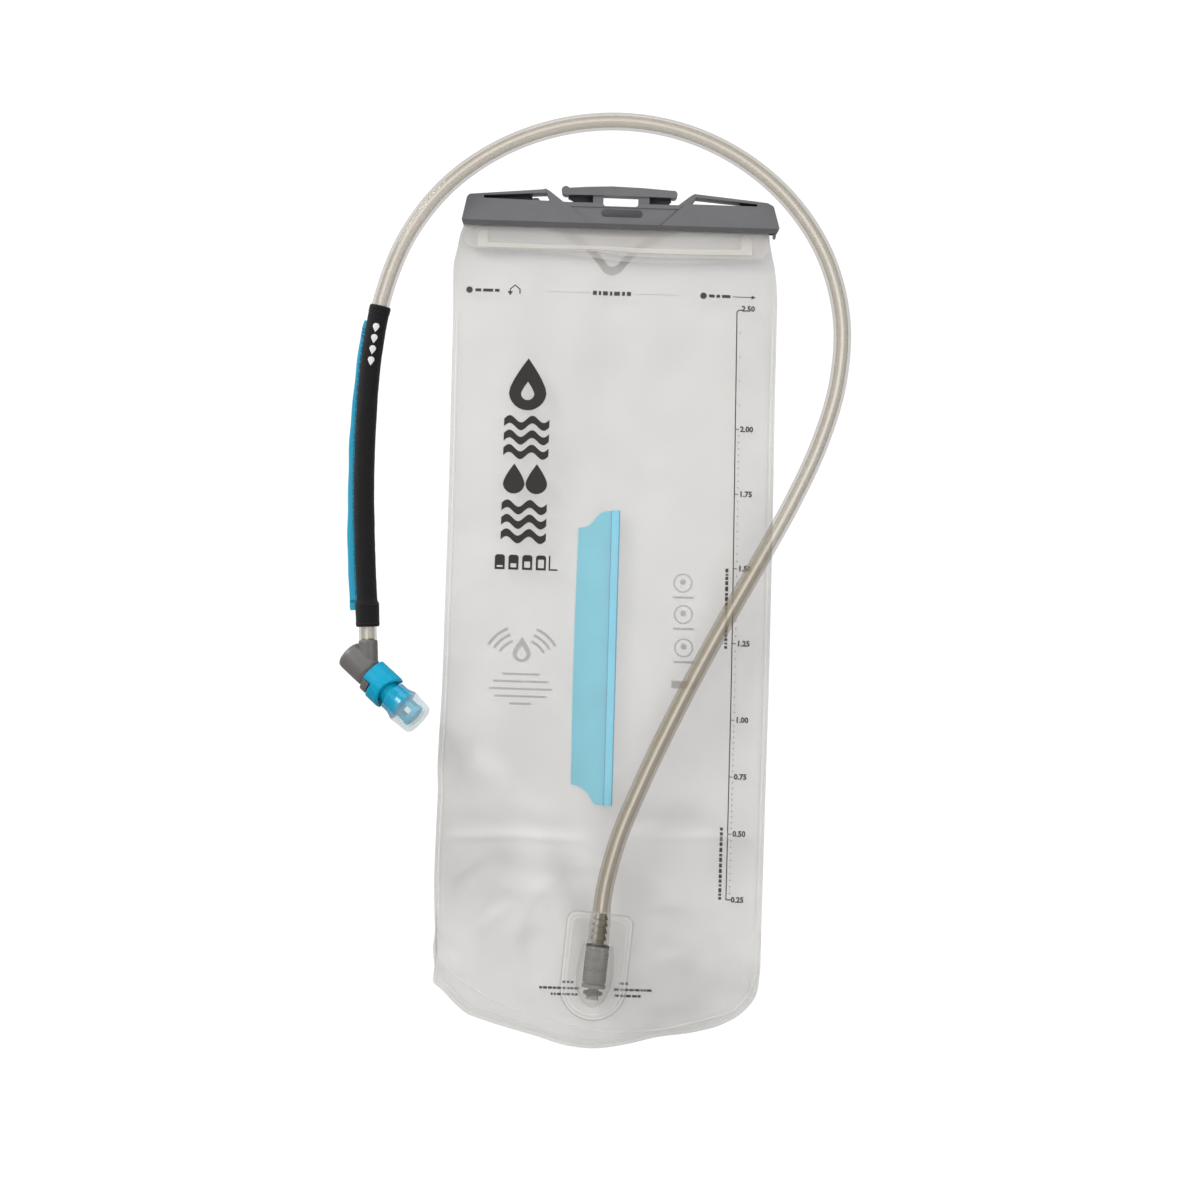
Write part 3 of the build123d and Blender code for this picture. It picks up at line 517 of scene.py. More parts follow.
def boolean(base, others, operation):
    """Joins or cuts raw objects; the others are used up."""
    for other in others:
        modifier = base.modifiers.new("b", "BOOLEAN")
        modifier.operation = operation
        modifier.solver = "EXACT"
        modifier.object = other
    apply_modifiers(base)
    for other in others:
        me = other.data
        bpy.data.objects.remove(other)
        bpy.data.meshes.remove(me)
    return base


def finish_raw(o, name, material, body, nodes=(), angle=30.0, bevel=0.0,
               bevel_angle=28.0, segments=2):
    """Turns a raw object into a finished piece."""
    weld = 0.004 * MM
    bm = bmesh.new()
    bm.from_mesh(o.data)
    bmesh.ops.remove_doubles(bm, verts=bm.verts, dist=weld)
    bmesh.ops.dissolve_degenerate(bm, edges=bm.edges, dist=weld)
    bmesh.ops.dissolve_limit(bm, angle_limit=math.radians(0.6), verts=bm.verts, edges=bm.edges)
    bm.to_mesh(o.data)
    bm.free()
    if bevel:
        modifier = o.modifiers.new("bev", "BEVEL")
        modifier.width = bevel * MM
        modifier.segments = segments
        modifier.limit_method = "ANGLE"
        modifier.angle_limit = math.radians(bevel_angle)
        modifier.use_clamp_overlap = True
        apply_modifiers(o)
    o.name = name
    o.data.name = name
    o.data.materials.clear()
    o.data.materials.append(MAT[material])
    finish_mesh(o.data, angle)
    register(o, body, nodes)
    return o


def axis_frame(axis):
    """Unit vectors: +Y flattened across the axis, the third direction, the axis."""
    z = Vector(axis).normalized()
    hint = Vector((0, 1, 0))
    x = (hint - z * hint.dot(z)).normalized()
    return tuple(np.array(v) for v in (x, z.cross(x), z))


def round_profile(profile, radius, steps=3):
    """Rounds the corners of a closed (radius, height[, corner radius]) profile.

    Points on the axis are left alone."""
    out = []
    P = [np.array(p[:2], float) for p in profile]
    radii = [(p[2] if len(p) > 2 else radius) for p in profile]
    for i, b in enumerate(P):
        a, c = P[i - 1], P[(i + 1) % len(P)]
        before, after = np.linalg.norm(a - b), np.linalg.norm(c - b)
        if b[0] < 1e-6 or radii[i] <= 0 or before < 1e-6 or after < 1e-6:
            out.append(tuple(b))
            continue
        to_a, to_c = (a - b) / before, (c - b) / after
        if float(np.clip(np.dot(to_a, to_c), -1, 1)) < -0.985:
            out.append(tuple(b))
            continue
        t = min(radii[i], 0.45 * before, 0.45 * after)
        start, end = b + to_a * t, b + to_c * t
        for k in range(steps + 1):
            q = k / steps
            out.append(tuple((1 - q) ** 2 * start + 2 * q * (1 - q) * b + q * q * end))
    return out


def lathe(profile, origin, axis, segments, squash=None):
    """Verts and faces of a closed (radius, height) profile turned round an axis.

    squash(radius, height) gives the two radii of an oval ring."""
    ax, ay, az = axis_frame(axis)
    origin = np.array(Vector(origin))
    verts, rings = [], []
    for r, h in profile:
        if r < 1e-6:
            rings.append([len(verts)])
            verts.append(origin + az * h)
            continue
        rings.append(list(range(len(verts), len(verts) + segments)))
        rx, ry = squash(r, h) if squash else (r, r)
        for k in range(segments):
            a = TURN * k / segments
            verts.append(origin + (ax * math.cos(a) * rx + ay * math.sin(a) * ry) + az * h)
    faces = []
    for i, A in enumerate(rings):
        B = rings[(i + 1) % len(rings)]
        if len(A) == 1 and len(B) == 1:
            continue
        for k in range(segments):
            j = (k + 1) % segments
            if len(A) == 1:
                faces.append((A[0], B[k], B[j]))
            elif len(B) == 1:
                faces.append((A[j], A[k], B[0]))
            else:
                faces.append((A[k], B[k], B[j], A[j]))
    return verts, faces


def turned(profile, origin, axis, segments, radius=None, steps=3):
    """Raw turned solid, with rounded corners if a radius is given."""
    if radius:
        profile = round_profile(profile, radius, steps)
    return raw_object(*lathe(profile, origin, axis, segments))


def prism(points, y0, y1):
    """Verts and faces of an XZ outline closed between y0 and y1."""
    n = len(points)
    verts = [(x, y0, z) for x, z in points] + [(x, y1, z) for x, z in points]
    return verts, prism_faces(n)


def prism_faces(n):
    faces = [tuple(range(n)), tuple(range(2 * n - 1, n - 1, -1))]
    return faces + [(i, (i + 1) % n, n + (i + 1) % n, n + i) for i in range(n)]


def radial_parts(verts, origin, axis):
    """Height along the axis, the vector out from it, and that vector's length."""
    rel = verts - origin
    height = rel @ axis
    out = rel - height[:, None] * axis
    return height, out, np.linalg.norm(out, axis=1)


def push_out(verts, out, radius, amount):
    return verts + out / np.maximum(radius, 1e-6)[:, None] * amount[:, None]


def points_xyz(x, y, z):
    return np.stack([x, y, z], -1)


def sheet(name, outer, inner, material, slot, nodes=()):
    """Closed thin solid from two grids of points (rows x columns x 3)."""
    rows, columns = outer.shape[:2]
    verts = np.concatenate([outer.reshape(-1, 3), inner.reshape(-1, 3)])
    idx = np.arange(rows * columns).reshape(rows, columns)
    off = rows * columns
    a, b, c, d = idx[:-1, :-1], idx[:-1, 1:], idx[1:, 1:], idx[1:, :-1]
    front = np.stack([a, b, c, d], -1).reshape(-1, 4)
    back = np.stack([d, c, b, a], -1).reshape(-1, 4) + off
    rim = np.concatenate([idx[0, :], idx[1:, -1], idx[-1, -2::-1], idx[-2:0:-1, 0]])
    after = np.roll(rim, -1)
    edge = np.stack([after, rim, rim + off, after + off], -1)
    return add_piece(name, verts, np.concatenate([front, back, edge]), material,
                     "reservoir", slot, nodes, angle=60)


# =====================================================================
# bag outline and the heights of its two films
# =====================================================================
FILM_THICKNESS = 0.4
MOUTH_Z = -14.6
# outlines: x, z, seen from the front
LEFT = smooth_line([
    (-83.6, MOUTH_Z), (-85.46, -19.27), (-87.31, -29.05), (-88.73, -35.58), (-88.9, -45.3),
    (-88.6, -56.1), (-88.1, -110), (-87.7, -164), (-87.85, -218), (-88.15, -272),
    (-89.0, -300), (-89.1, -309), (-88.6, -318), (-88.78, -340), (-89.0, -369.5),
    (-88.3, -388.0), (-87.7, -397), (-88.6, -405.7)], 1.5)
BOTTOM = smooth_line([
    (-88.6, -405.7), (-88.0, -411), (-87.2, -417.0), (-88.0, -424.0), (-82.6, -428.9),
    (-75.94, -435.6), (-69.5, -440.8), (-61, -443.9), (-53.24, -446.2), (-32.0, -451.8),
    (-14.44, -456.6), (0.44, -457.6), (15.22, -455.4), (33.71, -450.6), (54.68, -447.0),
    (67.0, -443.4), (79.14, -436.3), (86.2, -427.6), (88.4, -415), (88.5, -400.0)], 1.5)
RIGHT = smooth_line([
    (80.58, MOUTH_Z), (82.16, -23.7), (84.66, -34.5), (86.0, -45.2), (86.6, -72.2),
    (86.8, -104.6), (87.6, -158.6), (88.1, -212.6), (88.45, -266.7), (88.42, -320.7),
    (88.5, -363.9), (88.5, -400.0)], 1.5)
# coarser copies, for distances
SIDE_LINES = [[tuple(p) for p in resample(line, n)] for line, n in ((LEFT, 40), (RIGHT, 34))]
BOTTOM_LINE = [tuple(p) for p in resample(BOTTOM, 56)]

# outlet port: its origin is the socket's mouth, its own axes are across and along
PORT_TILT = math.radians(4.4)
PORT_DIR = np.array([math.sin(PORT_TILT), 0, math.cos(PORT_TILT)])
PORT = np.array([0.44, -12.5, -400.5])
PORT_ACROSS = np.array([math.cos(PORT_TILT), 0, -math.sin(PORT_TILT)])
PLATE_HALF_WIDTH = 17.8
PLATE_TOP = 16.0
PLATE_ROUND = -23.8  # centre of the plate's round foot, along the port

# creases: polyline (x, z), mm outwards (+) or inwards (-), half width
CREASES = [
    ([(-87.5, -346.2), (-60, -344.4), (-43.2, -343.8), (-5.5, -345.8)], 0.55, 2.2),
    ([(-87.5, -339.0), (-43, -338.0), (-8, -339.8)], -0.75, 6.5),
    ([(24.0, -343.4), (52, -341.6), (86.0, -340.9)], 0.5, 2.2),
    ([(10.0, -335.5), (36, -334.0), (60.0, -335.5)], -1.25, 7.5),
    ([(-89.0, -306.6), (-78, -303.0), (-66.2, -297.1), (-52, -303), (-38.6, -318.9),
      (-20, -333)], -0.8, 8.0),
    ([(-88.0, -312.0), (-72, -308.0), (-58.0, -312.0), (-46.0, -326.0)], 0.5, 6.0),
    ([(-62.8, -357.4), (-45, -361.5), (-21.0, -365.7), (2, -366.5)], -0.9, 7.0),
    ([(-56, -370.5), (-30.0, -374.0), (-22, -377)], 0.6, 6.0),
    ([(33.0, -379.0), (40.0, -392.0), (35.0, -408.0)], -1.3, 10.0),
    ([(52.0, -368.0), (60.0, -392.0), (50.0, -420.0)], 0.5, 9.0),
    ([(-72.0, -362.0), (-66.0, -376.0), (-52.0, -386.0)], -1.0, 12.0),
    ([(-44.0, -385.1), (-46.0, -405.1), (-38.0, -424.0), (-24.0, -436.0)], 0.8, 6.0),
    ([(-33.0, -392.0), (-33.0, -408.0), (-27.0, -424.0)], -0.8, 6.0),
    ([(27.0, -436.0), (45.0, -430.0), (60.0, -418.0), (70.0, -402.0)], 0.5, 7.0),
    ([(-80, -45), (-76, -70), (-74, -105)], 0.35, 7.0),
    ([(80, -45), (77, -75), (77, -120)], 0.3, 7.0),
    ([(-22, -40), (-16, -62), (-18, -95)], 0.35, 9.0),
    ([(24, -38), (20, -60), (26, -92)], 0.35, 9.0),
    ([(-3, -34), (-3, -50), (-4, -66)], -0.45, 6.0),
    ([(-30, -120), (10, -138), (46, -170)], 0.30, 12.0),
    ([(20, -148), (40, -168), (66, -184)], -0.35, 8.0),
    ([(-70, -205), (-60, -222), (-60, -250)], -0.35, 10.0),
    ([(84, -225), (72, -250), (76, -290)], 0.35, 8.0),
]
# the back film repeats the first six, reversed, and has its own
BACK_CREASES = [(line, -0.8 * amount, width * 0.9) for line, amount, width in CREASES[:6]] + [
    ([(-60, -330), (0, -352), (58, -338)], 0.5, 5.0),
    ([(-30, -380), (0, -395), (34, -384)], -0.4, 8.0),
    ([(-66, -120), (-30, -150), (10, -160)], 0.35, 8.0),
    ([(62, -80), (40, -120), (44, -170)], 0.35, 8.0),
    ([(-17, -170), (-16, -250), (-17, -322)], -0.5, 4.0),
]


def plate_distance(x, z):
    """Signed distance to the port plate's outline (negative inside)."""
    dx, dz = np.asarray(x, float) - PORT[0], np.asarray(z, float) - PORT[2]
    a = dx * PORT_ACROSS[0] + dz * PORT_ACROSS[2]
    b = dx * PORT_DIR[0] + dz * PORT_DIR[2]
    beside = np.abs(a) - PLATE_HALF_WIDTH
    above = np.clip(b, PLATE_ROUND, 1e9) - PLATE_TOP
    rect = np.where((beside > 0) & (above > 0), np.hypot(beside, above),
                    np.maximum(beside, above))
    return np.where(b < PLATE_ROUND, np.hypot(a, b - PLATE_ROUND) - PLATE_HALF_WIDTH, rect)


def edge_measures(x, z):
    """Distance to the side, to the foot, to the nearest weld, and below the mouth."""
    side = np.minimum(line_distance(x, z, SIDE_LINES[0]), line_distance(x, z, SIDE_LINES[1]))
    foot = line_distance(x, z, BOTTOM_LINE)
    weld = np.minimum(side, np.maximum(foot - 7.5, 0.0))
    return side, foot, weld, -16.0 - z


def foot_ridges(foot, height):
    """Weld band along the bottom, with fine ridges; returns its mask and the ridges."""
    band = ease(9.2, 8.2, foot) * ease(0.3, 1.2, foot)
    return band, height * np.cos(TURN * (foot - 1.6) / 2.7)


def crumpled_corner(x, z):
    """Mask of the bottom-left corner, and its wrinkles."""
    mask = np.exp(-(((x + 84) / 9) ** 2 + ((z + 415) / 14) ** 2))
    return mask, np.sin((z + 0.6 * x) / 3.1)


def front_h(x, z):
    """How far the front film's outer face stands in front of the weld plane."""
    x, z = np.asarray(x, float), np.asarray(z, float)
    side, foot, weld, below = edge_measures(x, z)
    puffed = ease(1.5, 38, weld) * ease(6, 60, below)
    side_roll = 0.9 * ease(0.6, 5.0, side) * ease(0, 10, foot - 6.0) * ease(0, 26, below)
    h = 0.5 + side_roll + 3.3 * puffed * (0.72 + 0.28 * ease(-440, -330, z))
    # broad, middling, then two sets of short folds close to the welds
    h = h + folds(x, z, 0.55, 62, 95, 1) * puffed
    h = h + folds(x, z, 0.30, 26, 44, 2) * puffed
    h = h + folds(x, z, 0.45, 60, 13, 3) * bell(weld - 9, 7) * ease(4, 30, below)
    h = h + folds(x, z, 0.22, 30, 5.5, 4) * bell(weld - 3.5, 3) * ease(4, 30, below)
    for line, amount, width in CREASES:
        (x0, z0), (x1, z1) = line[0], line[-1]
        length = math.hypot(x1 - x0, z1 - z0)
        t = ((x - x0) * (x1 - x0) + (z - z0) * (z1 - z0)) / (length * length)
        fade = ease(-0.02, 0.22, t) * ease(-0.02, 0.22, 1 - t)
        crease = 2.5 * amount * bell(line_distance(x, z, line), width)
        h = h + crease * fade * ease(0.5, 8, weld)
    band, ridges = foot_ridges(foot, 0.30)
    h = h + band * (ridges + 0.05)
    corner, wrinkles = crumpled_corner(x, z)
    h = h + corner * (0.9 * wrinkles + 0.3)
    # pulled flat on to the port plate
    plate = plate_distance(x, z)
    pull = 1 - ease(0.5, 24, plate)
    h = h * (1 - pull) + 2.5 * pull
    # a wide round ridge about the port, and a small one along the plate's edge
    h = h + 0.55 * bell(np.hypot(x - 1.7, z + 403.7) - 45.0, 3.4) * ease(0.5, 8, weld)
    h = h + 0.35 * bell(plate - 3.0, 1.6) * 0.5
    # a pressed line just inside each side weld
    h = h - 0.22 * bell(side - 3.4, 0.7) * ease(0, 26, below) * ease(0, 10, foot - 6.0)
    return np.maximum(h, 0.42)


def back_h(x, z):
    """How far the back film's outer face stands behind the weld plane."""
    x, z = np.asarray(x, float), np.asarray(z, float)
    side, foot, weld, below = edge_measures(x, z)
    puffed = ease(1.5, 40, weld) * ease(20, 70, below)
    side_roll = 0.8 * ease(0.6, 5.0, side) * ease(0, 10, foot - 6.0) * ease(10, 36, below)
    h = 0.5 + side_roll + 1.1 * puffed
    h = h + folds(x, z, 0.5, 58, 90, 11) * puffed + folds(x, z, 0.28, 24, 40, 12) * puffed
    h = h + folds(x, z, 0.45, 60, 14, 13) * bell(weld - 9, 7) * ease(24, 50, below)
    for line, amount, width in BACK_CREASES:
        h = h + amount * bell(line_distance(x, z, line), width) * puffed
    band, ridges = foot_ridges(foot, 0.14)
    h = h + band * ridges
    corner, wrinkles = crumpled_corner(x, z)
    h = h - corner * 0.8 * wrinkles
    return np.maximum(h, 0.42)


def front_y(x, z):
    return -front_h(x, z)


def front_inside_y(x, z):
    return -front_h(x, z) + FILM_THICKNESS


def bag_grid(columns, rows):
    """Coons patch filling the bag's outline; returns the grids of x and z."""
    top = resample([LEFT[0], RIGHT[0]], columns)
    bottom = resample(BOTTOM, columns)
    left, right = resample(LEFT, rows), resample(RIGHT, rows)
    u = np.linspace(0, 1, columns + 1)[None, :, None]
    v = np.linspace(0, 1, rows + 1)[:, None, None]
    P = (1 - v) * top[None] + v * bottom[None] + (1 - u) * left[:, None] + u * right[:, None]
    P = P - ((1 - u) * (1 - v) * top[0] + u * (1 - v) * top[-1]
             + (1 - u) * v * bottom[0] + u * v * bottom[-1])
    return P[..., 0], P[..., 1]


def build_films():
    # name, height, side along y, columns and rows, material, CAD node
    for name, height, side, counts, material, cad in (
            ("film_front", front_h, -1, ((150, 330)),
             "film_frosted", "front_panel"),
            ("film_back", back_h, 1, ((110, 250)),
             "film_back_frosted", "back_panel")):
        x, z = bag_grid(*counts)
        h = height(x, z)
        sheet(name, points_xyz(x, side * h, z),
              points_xyz(x, side * (h - FILM_THICKNESS), z), material, "film", (cad,))


# =====================================================================
# folded mouth: two films over the front, hanging below the bar
# =====================================================================
MOUTH_LEFT, MOUTH_RIGHT = -83.4, 81.3
FOLD_Y, FOLD_Z = -1.5, -8.0  # centre of the folds
# lower edges: x, z
LIP_OUTER = np.array([
    (-83.4, -19.6), (-83.0, -23.9), (-81.6, -26.4), (-79.6, -27.7), (-74.2, -28.5),
    (-42, -28.4), (-10, -28.2), (0.8, -30.2), (20, -30.6), (38.5, -30.3), (60, -30.2),
    (73.6, -30.0), (78.0, -28.8), (80.2, -26.4), (81.1, -23.0), (81.3, -18.0)])
LIP_INNER = np.array([
    (-83.3, -20.5), (-82.6, -25.0), (-79.8, -28.2), (-74.2, -29.4), (-50, -29.2),
    (-31.6, -29.8), (-12, -31.6), (0.9, -33.0), (20, -33.4), (38.6, -32.9), (60, -32.0),
    (73.6, -31.2), (78.6, -29.2), (80.8, -25.4), (81.3, -19.0)])


def flap_y(x, z, layer):
    """Mid-surface y of a hanging lip; layer 0 is the outer one."""
    t = ease(-15.0, -31.0, z)
    start, reach, phase = ((-3.25, 2.7, 0), (-2.75, 1.7, 0.8))[layer]
    y = start - reach * t
    y = y - t * (folds(x, z, 0.55, 34, 30, 21 + layer) + folds(x, z, 0.3, 13, 22, 23 + layer))
    return y - 0.5 * t * np.sin(x / 23.0 + phase)


def build_lip(name, edge, layer, radius):
    n = 200
    q = np.linspace(0, 1, n + 1)
    q = 0.5 - 0.5 * np.cos(math.pi * q) * (0.55 + 0.45 * np.abs(np.cos(math.pi * q)))
    x = MOUTH_LEFT + (MOUTH_RIGHT - MOUTH_LEFT) * q
    edge_z = np.interp(x, edge[:, 0], edge[:, 1])
    # rows up the bag side, over the fold and down the front: y, z, normal y, normal z
    rows = [(FOLD_Y + radius, z, 1.0, 0.0) for z in np.linspace(-15.0, FOLD_Z, 4)[:-1]]
    for a in np.linspace(0, math.pi, 13):
        rows.append((FOLD_Y + radius * math.cos(a), FOLD_Z + radius * math.sin(a),
                     math.cos(a), math.sin(a)))
    for t in np.linspace(0, 1, 20)[1:]:
        z = FOLD_Z + (edge_z - FOLD_Z) * t
        rows.append((np.where(z > -14, FOLD_Y - radius, flap_y(x, z, layer)), z, -1.0, 0.0))
    faces = []
    for half in (FILM_THICKNESS / 2, -FILM_THICKNESS / 2):
        grid = np.stack([points_xyz(x, x * 0 + (y + ny * half), x * 0 + (z + nz * half))
                         for y, z, ny, nz in rows])
        # the ends lean in a little inside the bar so they stay clear of its ends
        grid[..., 0] *= 1 - 0.012 * ease(-20, -13, grid[..., 2])
        faces.append(grid)
    sheet(name, *faces, "film_flap", "film")


# =====================================================================
# flat shapes laid on a surface
# =====================================================================
def fill2d(loops, max_edge=5.0):
    """Triangles of a polygon (first loop outer, others holes), cut to short edges."""
    bm = bmesh.new()
    edges = []
    for loop in loops:
        vs = [bm.verts.new((p[0], p[1], 0)) for p in loop]
        for i in range(len(vs)):
            edges.append(bm.edges.new((vs[i], vs[(i + 1) % len(vs)])))
    bmesh.ops.triangle_fill(bm, use_beauty=True, use_dissolve=False, edges=edges)
    for _ in range(6):
        long_edges = [e for e in bm.edges if e.calc_length() > max_edge]
        if not long_edges:
            break
        bmesh.ops.subdivide_edges(bm, edges=long_edges, cuts=1, use_grid_fill=False)
        bmesh.ops.triangulate(bm, faces=[f for f in bm.faces if len(f.verts) > 3])
    bm.verts.index_update()
    verts = np.array([v.co[:2] for v in bm.verts])
    faces = [tuple(v.index for v in f.verts) for f in bm.faces]
    bm.free()
    return verts, faces


def circle(cx, cz, r, n):
    return [(cx + r * math.cos(TURN * i / n), cz + r * math.sin(TURN * i / n))
            for i in range(n)]


class Decal:
    """Collects flat XZ shapes and makes one closed thin piece of them on a surface."""

    def __init__(self):
        self.verts, self.faces = [], []
        self.count = 0

    def add(self, verts, faces):
        self.verts.append(np.asarray(verts, float))
        self.faces += [tuple(i + self.count for i in f) for f in faces]
        self.count += len(verts)

    def poly(self, points, holes=(), max_edge=5.0):
        self.add(*fill2d([points, *holes], max_edge))

    def rect(self, x0, z0, x1, z1):
        self.poly([(x0, z0), (x1, z0), (x1, z1), (x0, z1)])

    def disc(self, cx, cz, r, hole=0.0, n=28):
        self.poly(circle(cx, cz, r, n), [circle(cx, cz, hole, n)] if hole else [])

    def dashes(self, x, z0, z1, dashes):
        """A row of blocks, each given as (offset from x, width)."""
        for offset, width in dashes:
            self.rect(x + offset, z0, x + offset + width, z1)

    def ribbon(self, line, width):
        """Strip along a line, narrowed at both ends."""
        line = np.array(line, float)
        T = np.gradient(line, axis=0)
        T /= np.linalg.norm(T, axis=1)[:, None]
        normal = np.stack([-T[:, 1], T[:, 0]], 1)
        n = len(line)
        taper = np.minimum(np.arange(n), np.arange(n)[::-1]) / 6 + 0.15
        half = (np.full(n, width) * np.minimum(1, taper))[:, None] / 2
        self.add(np.concatenate([line + normal * half, line - normal * half]),
                 [(i, i + 1, n + i + 1, n + i) for i in range(n - 1)])

    def band(self, outer, inner):
        """Closed strip between two matching loops."""
        n = len(outer)
        self.add(list(outer) + list(inner),
                 [(i, (i + 1) % n, n + (i + 1) % n, n + i) for i in range(n)])

    def text(self, words, x, z, size):
        """Left-aligned text, centred on z."""
        curve = bpy.data.curves.new("t", "FONT")
        curve.body = words
        curve.size = size
        curve.resolution_u = 2
        curve.align_y = "CENTER"
        curve.offset = 0.040 * size
        ob = link_object("t", curve)
        bpy.context.view_layer.update()
        me = ob.to_mesh()
        verts = np.array([v.co[:2] for v in me.vertices])
        faces = [tuple(p.vertices) for p in me.polygons]
        ob.to_mesh_clear()
        bpy.data.objects.remove(ob)
        bpy.data.curves.remove(curve)
        self.add(verts + np.array([x, z]), faces)

    def make(self, name, surface_y, proud, sunk, material, slot="film", side=-1):
        """One face stands proud of the surface, the other is sunk below it."""
        bm = bmesh.new()
        vs = [bm.verts.new((x, 0, z)) for x, z in np.concatenate(self.verts)]
        for f in self.faces:
            if len(set(f)) == len(f):
                try:
                    bm.faces.new([vs[i] for i in f])
                except ValueError:
                    # a text or fill triangle that repeats an earlier one
                    pass
        bmesh.ops.remove_doubles(bm, verts=bm.verts, dist=1e-4)
        bm.verts.index_update()
        co = np.array([v.co[:] for v in bm.verts])
        faces = [tuple(v.index for v in f.verts) for f in bm.faces]
        border = [(e.link_loops[0].vert.index, e.link_loops[0].link_loop_next.vert.index)
                  for e in bm.edges if len(e.link_faces) == 1]
        bm.free()
        y = surface_y(co[:, 0], co[:, 2])
        top = np.stack([co[:, 0], y + side * proud, co[:, 2]], 1)
        low = np.stack([co[:, 0], y - side * sunk, co[:, 2]], 1)
        n = len(co)
        faces += [tuple(i + n for i in reversed(f)) for f in faces]
        faces += [(b, a, a + n, b + n) for a, b in border]
        return add_piece(name, np.concatenate([top, low]), faces, material, "reservoir",
                         slot, angle=40)


# =====================================================================
# weld lines
# =====================================================================
BOTTOM_FINE, RIGHT_FINE, LEFT_FINE = resample(BOTTOM, 150), resample(RIGHT, 200), resample(LEFT, 200)
# painted highlight line low on the front: x, z
FOOT_LINE = [
    (-86.2, -409.9), (-76.1, -420.4), (-67.8, -425.5), (-51.3, -434.7), (-18.7, -442.9),
    (3.1, -447.6), (30.1, -446.8), (56.9, -440.5), (75.6, -433.5), (84.6, -420.7),
    (86.2, -404.4)]


def inset_path(line, distance):
    """The line moved sideways into the bag."""
    line = np.array(line, float)
    T = np.gradient(line, axis=0)
    T /= np.linalg.norm(T, axis=1)[:, None]
    normal = np.stack([-T[:, 1], T[:, 0]], 1)
    bag_middle = np.array([0.0, -230.0])
    normal *= np.where(((bag_middle - line) * normal).sum(1) > 0, 1, -1)[:, None]
    window = np.ones(9) / 9
    for j in (0, 1):
        padded = np.pad(normal[:, j], 4, mode="edge")
        normal[:, j] = np.convolve(padded, window, mode="valid")
    normal /= np.linalg.norm(normal, axis=1)[:, None]
    return line + normal * distance


def add_weld_lines(decal, foot_lines, side_inset, side_width):
    """foot_lines holds (inset, points trimmed from each end, width)."""
    for inset, trim, width in foot_lines:
        decal.ribbon(inset_path(BOTTOM_FINE, inset)[trim:-trim], width)
    decal.ribbon(inset_path(RIGHT_FINE, side_inset)[24:-4], side_width)
    decal.ribbon(inset_path(LEFT_FINE, side_inset)[24:-6], side_width)


def build_weld_lines():
    decal = Decal()
    add_weld_lines(decal, [(2.3, 4, 0.45), (5.0, 7, 0.6)], side_inset=3.3, side_width=0.4)
    decal.make("weld_lines_front", front_y, 0.05, 0.03, "weld_line")
    # lighter lines along the welds: painted highlight where the film bends off the weld
    decal = Decal()
    decal.ribbon(smooth_line(FOOT_LINE, 1.5), 0.9)
    add_weld_lines(decal, [(3.6, 6, 0.7)], side_inset=2.2, side_width=0.7)
    decal.make("weld_lines_highlight", front_y, 0.06, 0.03, "edge_highlight")
    decal = Decal()
    add_weld_lines(decal, [(3.0, 4, 0.6), (6.2, 7, 0.6)], side_inset=3.3, side_width=0.5)
    decal.make("weld_lines_back", back_h, 0.05, 0.03, "weld_line", side=1)


# =====================================================================
# prints on the films
# =====================================================================
# volume scale: z, label
SCALE_MARKS = [
    (-56.3, "2.50"), (-121.3, "2.00"), (-156.3, "1.75"), (-196.4, "1.50"), (-236.8, "1.25"),
    (-278.0, "1.00"), (-308.7, "0.75"), (-339.4, "0.50"), (-375.0, "0.25")]
SCALE_TOP, SCALE_FOOT = -58.6, -374.6
SCALE_HALF = 0.28  # half width of the scale's line
SCALE_HOOK = 1.9  # radius of the bend at its top


def scale_x(z):
    """The scale's line leans slightly to the right towards its foot."""
    return float(np.interp(z, [-375.2, -277.8, -224.0, -56.8], [68.7, 68.1, 67.5, 64.7]))


def build_scale():
    decal = Decal()
    zs = np.linspace(SCALE_TOP, SCALE_FOOT, 40)
    decal.poly([(scale_x(z) - SCALE_HALF, z) for z in zs]
               + [(scale_x(z) + SCALE_HALF, z) for z in zs[::-1]])
    bend = [(SCALE_HOOK * math.cos(a), SCALE_HOOK * math.sin(a))
            for a in np.linspace(math.pi, math.pi / 2, 7)]
    cx, cz = scale_x(SCALE_TOP) + SCALE_HOOK - SCALE_HALF, SCALE_TOP
    decal.poly([(cx + a, cz + b) for a, b in bend] + [(cx + 1.7, cz + 1.9), (cx + 1.7, cz + 1.34)]
               + [(cx + a * 0.7, cz + b * 0.7) for a, b in bend[::-1]])
    foot_x = scale_x(SCALE_FOOT)
    decal.rect(foot_x - SCALE_HALF, -375.2, foot_x + 2.6, SCALE_FOOT)
    for i, (z, label) in enumerate(SCALE_MARKS):
        x = scale_x(z)
        if 0 < i < len(SCALE_MARKS) - 1:
            decal.rect(x + SCALE_HALF, z - 0.22, x + 2.0, z + 0.22)
        decal.text(label, x + 2.6, z, size=4.1)
    # dots between the marks
    for i, ((z0, _), (z1, _)) in enumerate(zip(SCALE_MARKS[:-1], SCALE_MARKS[1:])):
        n = 10 if i else 5
        for k in range(1, n):
            z = z0 + (z1 - z0) * k / n
            decal.disc(scale_x(z) + 1.9, z, 0.34, n=8)
    # two columns of short dashes left of the scale
    for z, end, seed in ((-196.5, -240.5, 196), (-336.0, -374.0, 336)):
        rng = np.random.RandomState(seed)
        while z > end:
            length = rng.uniform(0.9, 2.6)
            x = scale_x(z) - 3.2
            decal.rect(x - 1.0, z - length, x + 0.6, z)
            z -= length + rng.uniform(0.5, 0.9)
    decal.make("print_scale", front_y, 0.05, 0.03, "ink_small")


